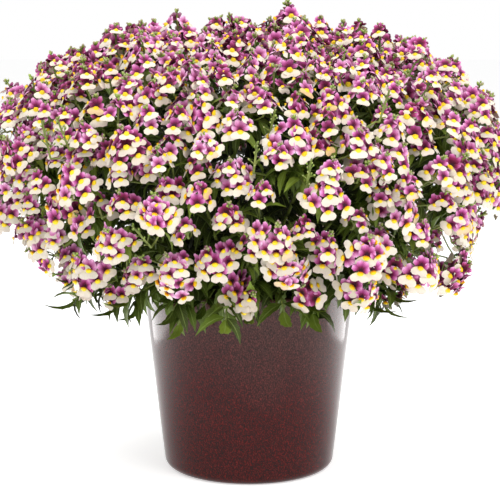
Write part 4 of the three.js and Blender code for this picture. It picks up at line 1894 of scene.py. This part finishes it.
@dataclass(frozen=True)
class Undergrowth:
    """Leafy side stems under the dome, which fan out low from the soil and close its underside.

    The stems' ranges are in millimetres. Their bare starts are a share of their length. The pair
    called leaf is the middle tint and the size of their leaves.
    """

    layout: Layout
    wardrobe: Wardrobe
    stems: int = 44
    groups: int = 6
    tip_reach: Pair = (118, 196)
    tip_height: Pair = (182, 214)
    foot: Pair = (50, 84)
    peak: Pair = (14, 34)
    radii: Pair = (1.5 * MM, 0.9 * MM)
    first_turn: float = 0.2
    tip_stray: float = 0.12
    peak_share: float = 0.4
    bare: Pair = (0.35, 3 * MM)
    end_tint: float = 0.3
    leaf: Pair = (0.43, 0.85)
    leafing: Leafing = Leafing(spacing=10 * MM, lean=1.0, sag=0.4)

    def build(self) -> None:
        """Makes the undergrowth in a few pieces."""
        random = SeededRandom(Series.UNDERGROWTH)
        groups = [Growth(self.wardrobe, random) for _ in range(self.groups)]
        for i in range(self.stems):
            self._add_stem(groups[i % self.groups], i * GOLDEN_ANGLE + self.first_turn)
        for i, growth in enumerate(groups):
            growth.finish_greens(f"undergrowth_{i + 1}")

    def _leaf(self, tip: Vector) -> Pair | None:
        """Returns a leaf's tint and size, or none where its tip would be in the pot."""
        return self.leaf if self.layout.clear_of_pot(tip) else None

    def _add_stem(self, growth: Growth, turn: float) -> None:
        """Adds one stem with its leaves at a turn round the axis.

        Args:
            growth: What it grows with.
            turn: Its turn.
        """
        random = growth.random
        reach = random.between(*self.tip_reach) * MM
        height = random.between(*self.tip_height) * MM
        foot = random.between(*self.foot) * MM

        def at(radius: float, level: float, stray: float = 0.0) -> Vector:
            """Returns the point at a radius and a height, a little astray of the turn."""
            x, y = radius * math.cos(turn + stray), radius * math.sin(turn + stray)
            return Vector((x, self.layout.dome.depth_share * y, level))

        peak = self.layout.pot_height + random.between(*self.peak) * MM
        tip = at(reach, height, random.about(0, self.tip_stray))
        bend = at(foot + self.peak_share * (reach - foot), peak)
        path = smooth_path([*self.layout.stem_start(at(foot, 0)), bend, tip], 4)
        leaves = self.wardrobe.fine_leaves
        self.leafing.end(path, leaves[0], growth, self.end_tint)
        growth.greens.stem(path, self.radii, 5)
        length = path_length(path)
        stretch = (self.bare[0] * length, length - self.bare[1])
        self.leafing.dress(path, stretch, leaves, growth, self._leaf)


# Studio


class LightUse(Enum):
    """What a studio light is for."""

    PLANT = "looks at the plant"
    GLAZE = "shows in the glaze alone"
    FLOOR = "looks straight down at the floor"


@dataclass(frozen=True)
class Softbox:
    """A rectangular soft light: its place and sides in metres, and its power in watts."""

    name: str
    place: tuple[float, float, float]
    sides: Pair
    power: float
    use: LightUse = LightUse.PLANT
    aim: tuple[float, float, float] = (0, 0, 0.22)

    def build(self) -> None:
        """Adds the light."""
        lamp = bpy.data.lights.new(self.name, "AREA")
        lamp.shape = "RECTANGLE"
        lamp.size, lamp.size_y = self.sides
        lamp.energy = self.power
        holder = bpy.data.objects.new(self.name, lamp)
        holder.location = self.place
        if self.use is not LightUse.FLOOR:
            ray = Vector(self.aim) - Vector(self.place)
            holder.rotation_euler = ray.to_track_quat("-Z", "Y").to_euler()
        holder.visible_camera = False
        holder.visible_diffuse = self.use is not LightUse.GLAZE
        bpy.context.scene.collection.objects.link(holder)


SOFTBOXES = (
    Softbox("key", (1.1, -1.4, 1.7), (1.1, 1.1), 25),
    Softbox("fill", (-1.3, -1.3, 1.5), (1.3, 1.3), 12),
    Softbox("top", (-0.1, 0.1, 2.0), (1.6, 1.6), 24),
    Softbox("left_card", (-0.47, 0.2, 0.05), (0.4, 0.3), 1.6, LightUse.GLAZE),
    Softbox("right_card", (0.47, 0.2, 0.05), (0.4, 0.3), 1.6, LightUse.GLAZE),
    Softbox("left_wash", (-0.5, 0.12, 0.2), (0.34, 0.5), 0.45, LightUse.FLOOR),
    Softbox("right_wash", (0.44, 0.12, 0.2), (0.34, 0.5), 0.65, LightUse.FLOOR),
)


@dataclass(frozen=True)
class Studio:
    """A plain white floor, soft light from all round and the camera."""

    camera_back: float = 1.6
    camera_height: float = 0.468
    camera_pitch: float = 8.78
    lens: float = 115.2
    sensor: float = 36.0
    shift_x: float = 0.002
    floor_radius: float = 12.0
    floor_glow: float = 0.43
    surround: float = 0.57

    def build(self) -> None:
        """Makes the floor, the light and the camera."""
        self._add_floor()
        self._add_world()
        for softbox in SOFTBOXES:
            softbox.build()
        self._add_camera()
        bpy.context.scene.view_settings.view_transform = "Standard"

    def _add_floor(self) -> None:
        """Adds the floor, which glows a little so that it stays white."""
        bm = bmesh.new()
        bmesh.ops.create_circle(bm, cap_ends=True, segments=96, radius=self.floor_radius)
        mesh = close_shape(bm, "floor")
        material, _, shader = new_finish("studio_floor")
        white = {"Base Color": linear("#FBFBFB"), "Emission Color": linear("#FFFFFF")}
        connect(shader, {**white, "Roughness": 1.0, "Emission Strength": self.floor_glow})
        mesh.materials.append(material)
        floor = bpy.data.objects.new("floor", mesh)
        bpy.context.scene.collection.objects.link(floor)
        floor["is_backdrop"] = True

    def _add_world(self) -> None:
        """Adds a white surround that the camera sees as pure white."""
        world = bpy.data.worlds.new("studio")
        world.use_nodes = True
        node = partial(add_node, world.node_tree)
        world.node_tree.nodes.clear()
        seen = node("LightPath").outputs["Is Camera Ray"]
        strength = node("MapRange", {"Value": seen, "To Min": self.surround, "To Max": 1.0})
        light = node("Background", {"Color": (1.0, 1.0, 1.0, 1.0), "Strength": strength})
        node("OutputWorld", {"Surface": light})
        bpy.context.scene.world = world

    def _add_camera(self) -> None:
        """Adds the camera at the height and distance of the photograph's."""
        data = bpy.data.cameras.new("camera")
        data.lens = self.lens
        data.sensor_width = self.sensor
        data.shift_x = self.shift_x
        camera = bpy.data.objects.new("camera", data)
        camera.location = (0, -self.camera_back, self.camera_height)
        camera.rotation_euler = (math.radians(90 - self.camera_pitch), 0, 0)
        bpy.context.scene.collection.objects.link(camera)
        bpy.context.scene.camera = camera


def main() -> None:
    """Builds the pot, the compost, the plant and the studio, in that order."""
    logging.basicConfig(level=logging.INFO, format="%(message)s")
    layout = Layout()
    pot = GlazedPot()
    pot.build(StonewareGlazeFinish().build())
    CompostBed(layout, pot).build(CompostFinish().build())
    wardrobe = Wardrobe.filled()
    sprays = layout.spray_places()
    maker = FloweringSpray(layout, wardrobe)
    for number, spray in enumerate(sprays, start=1):
        maker.build(number, spray)
    LeafyShoot(layout, wardrobe).build_all()
    Undergrowth(layout, wardrobe).build()
    Studio().build()
    heads = sum(len(spray.heads) for spray in sprays)
    fillers = sum(len(spray.fillers) for spray in sprays)
    triangles = 0
    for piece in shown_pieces():
        piece.data.calc_loop_triangles()
        triangles += len(piece.data.loop_triangles)
    log.info("%d heads, %d smaller ones, %d triangles", heads, fillers, triangles)
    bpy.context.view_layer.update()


if __name__ == "__main__":
    main()
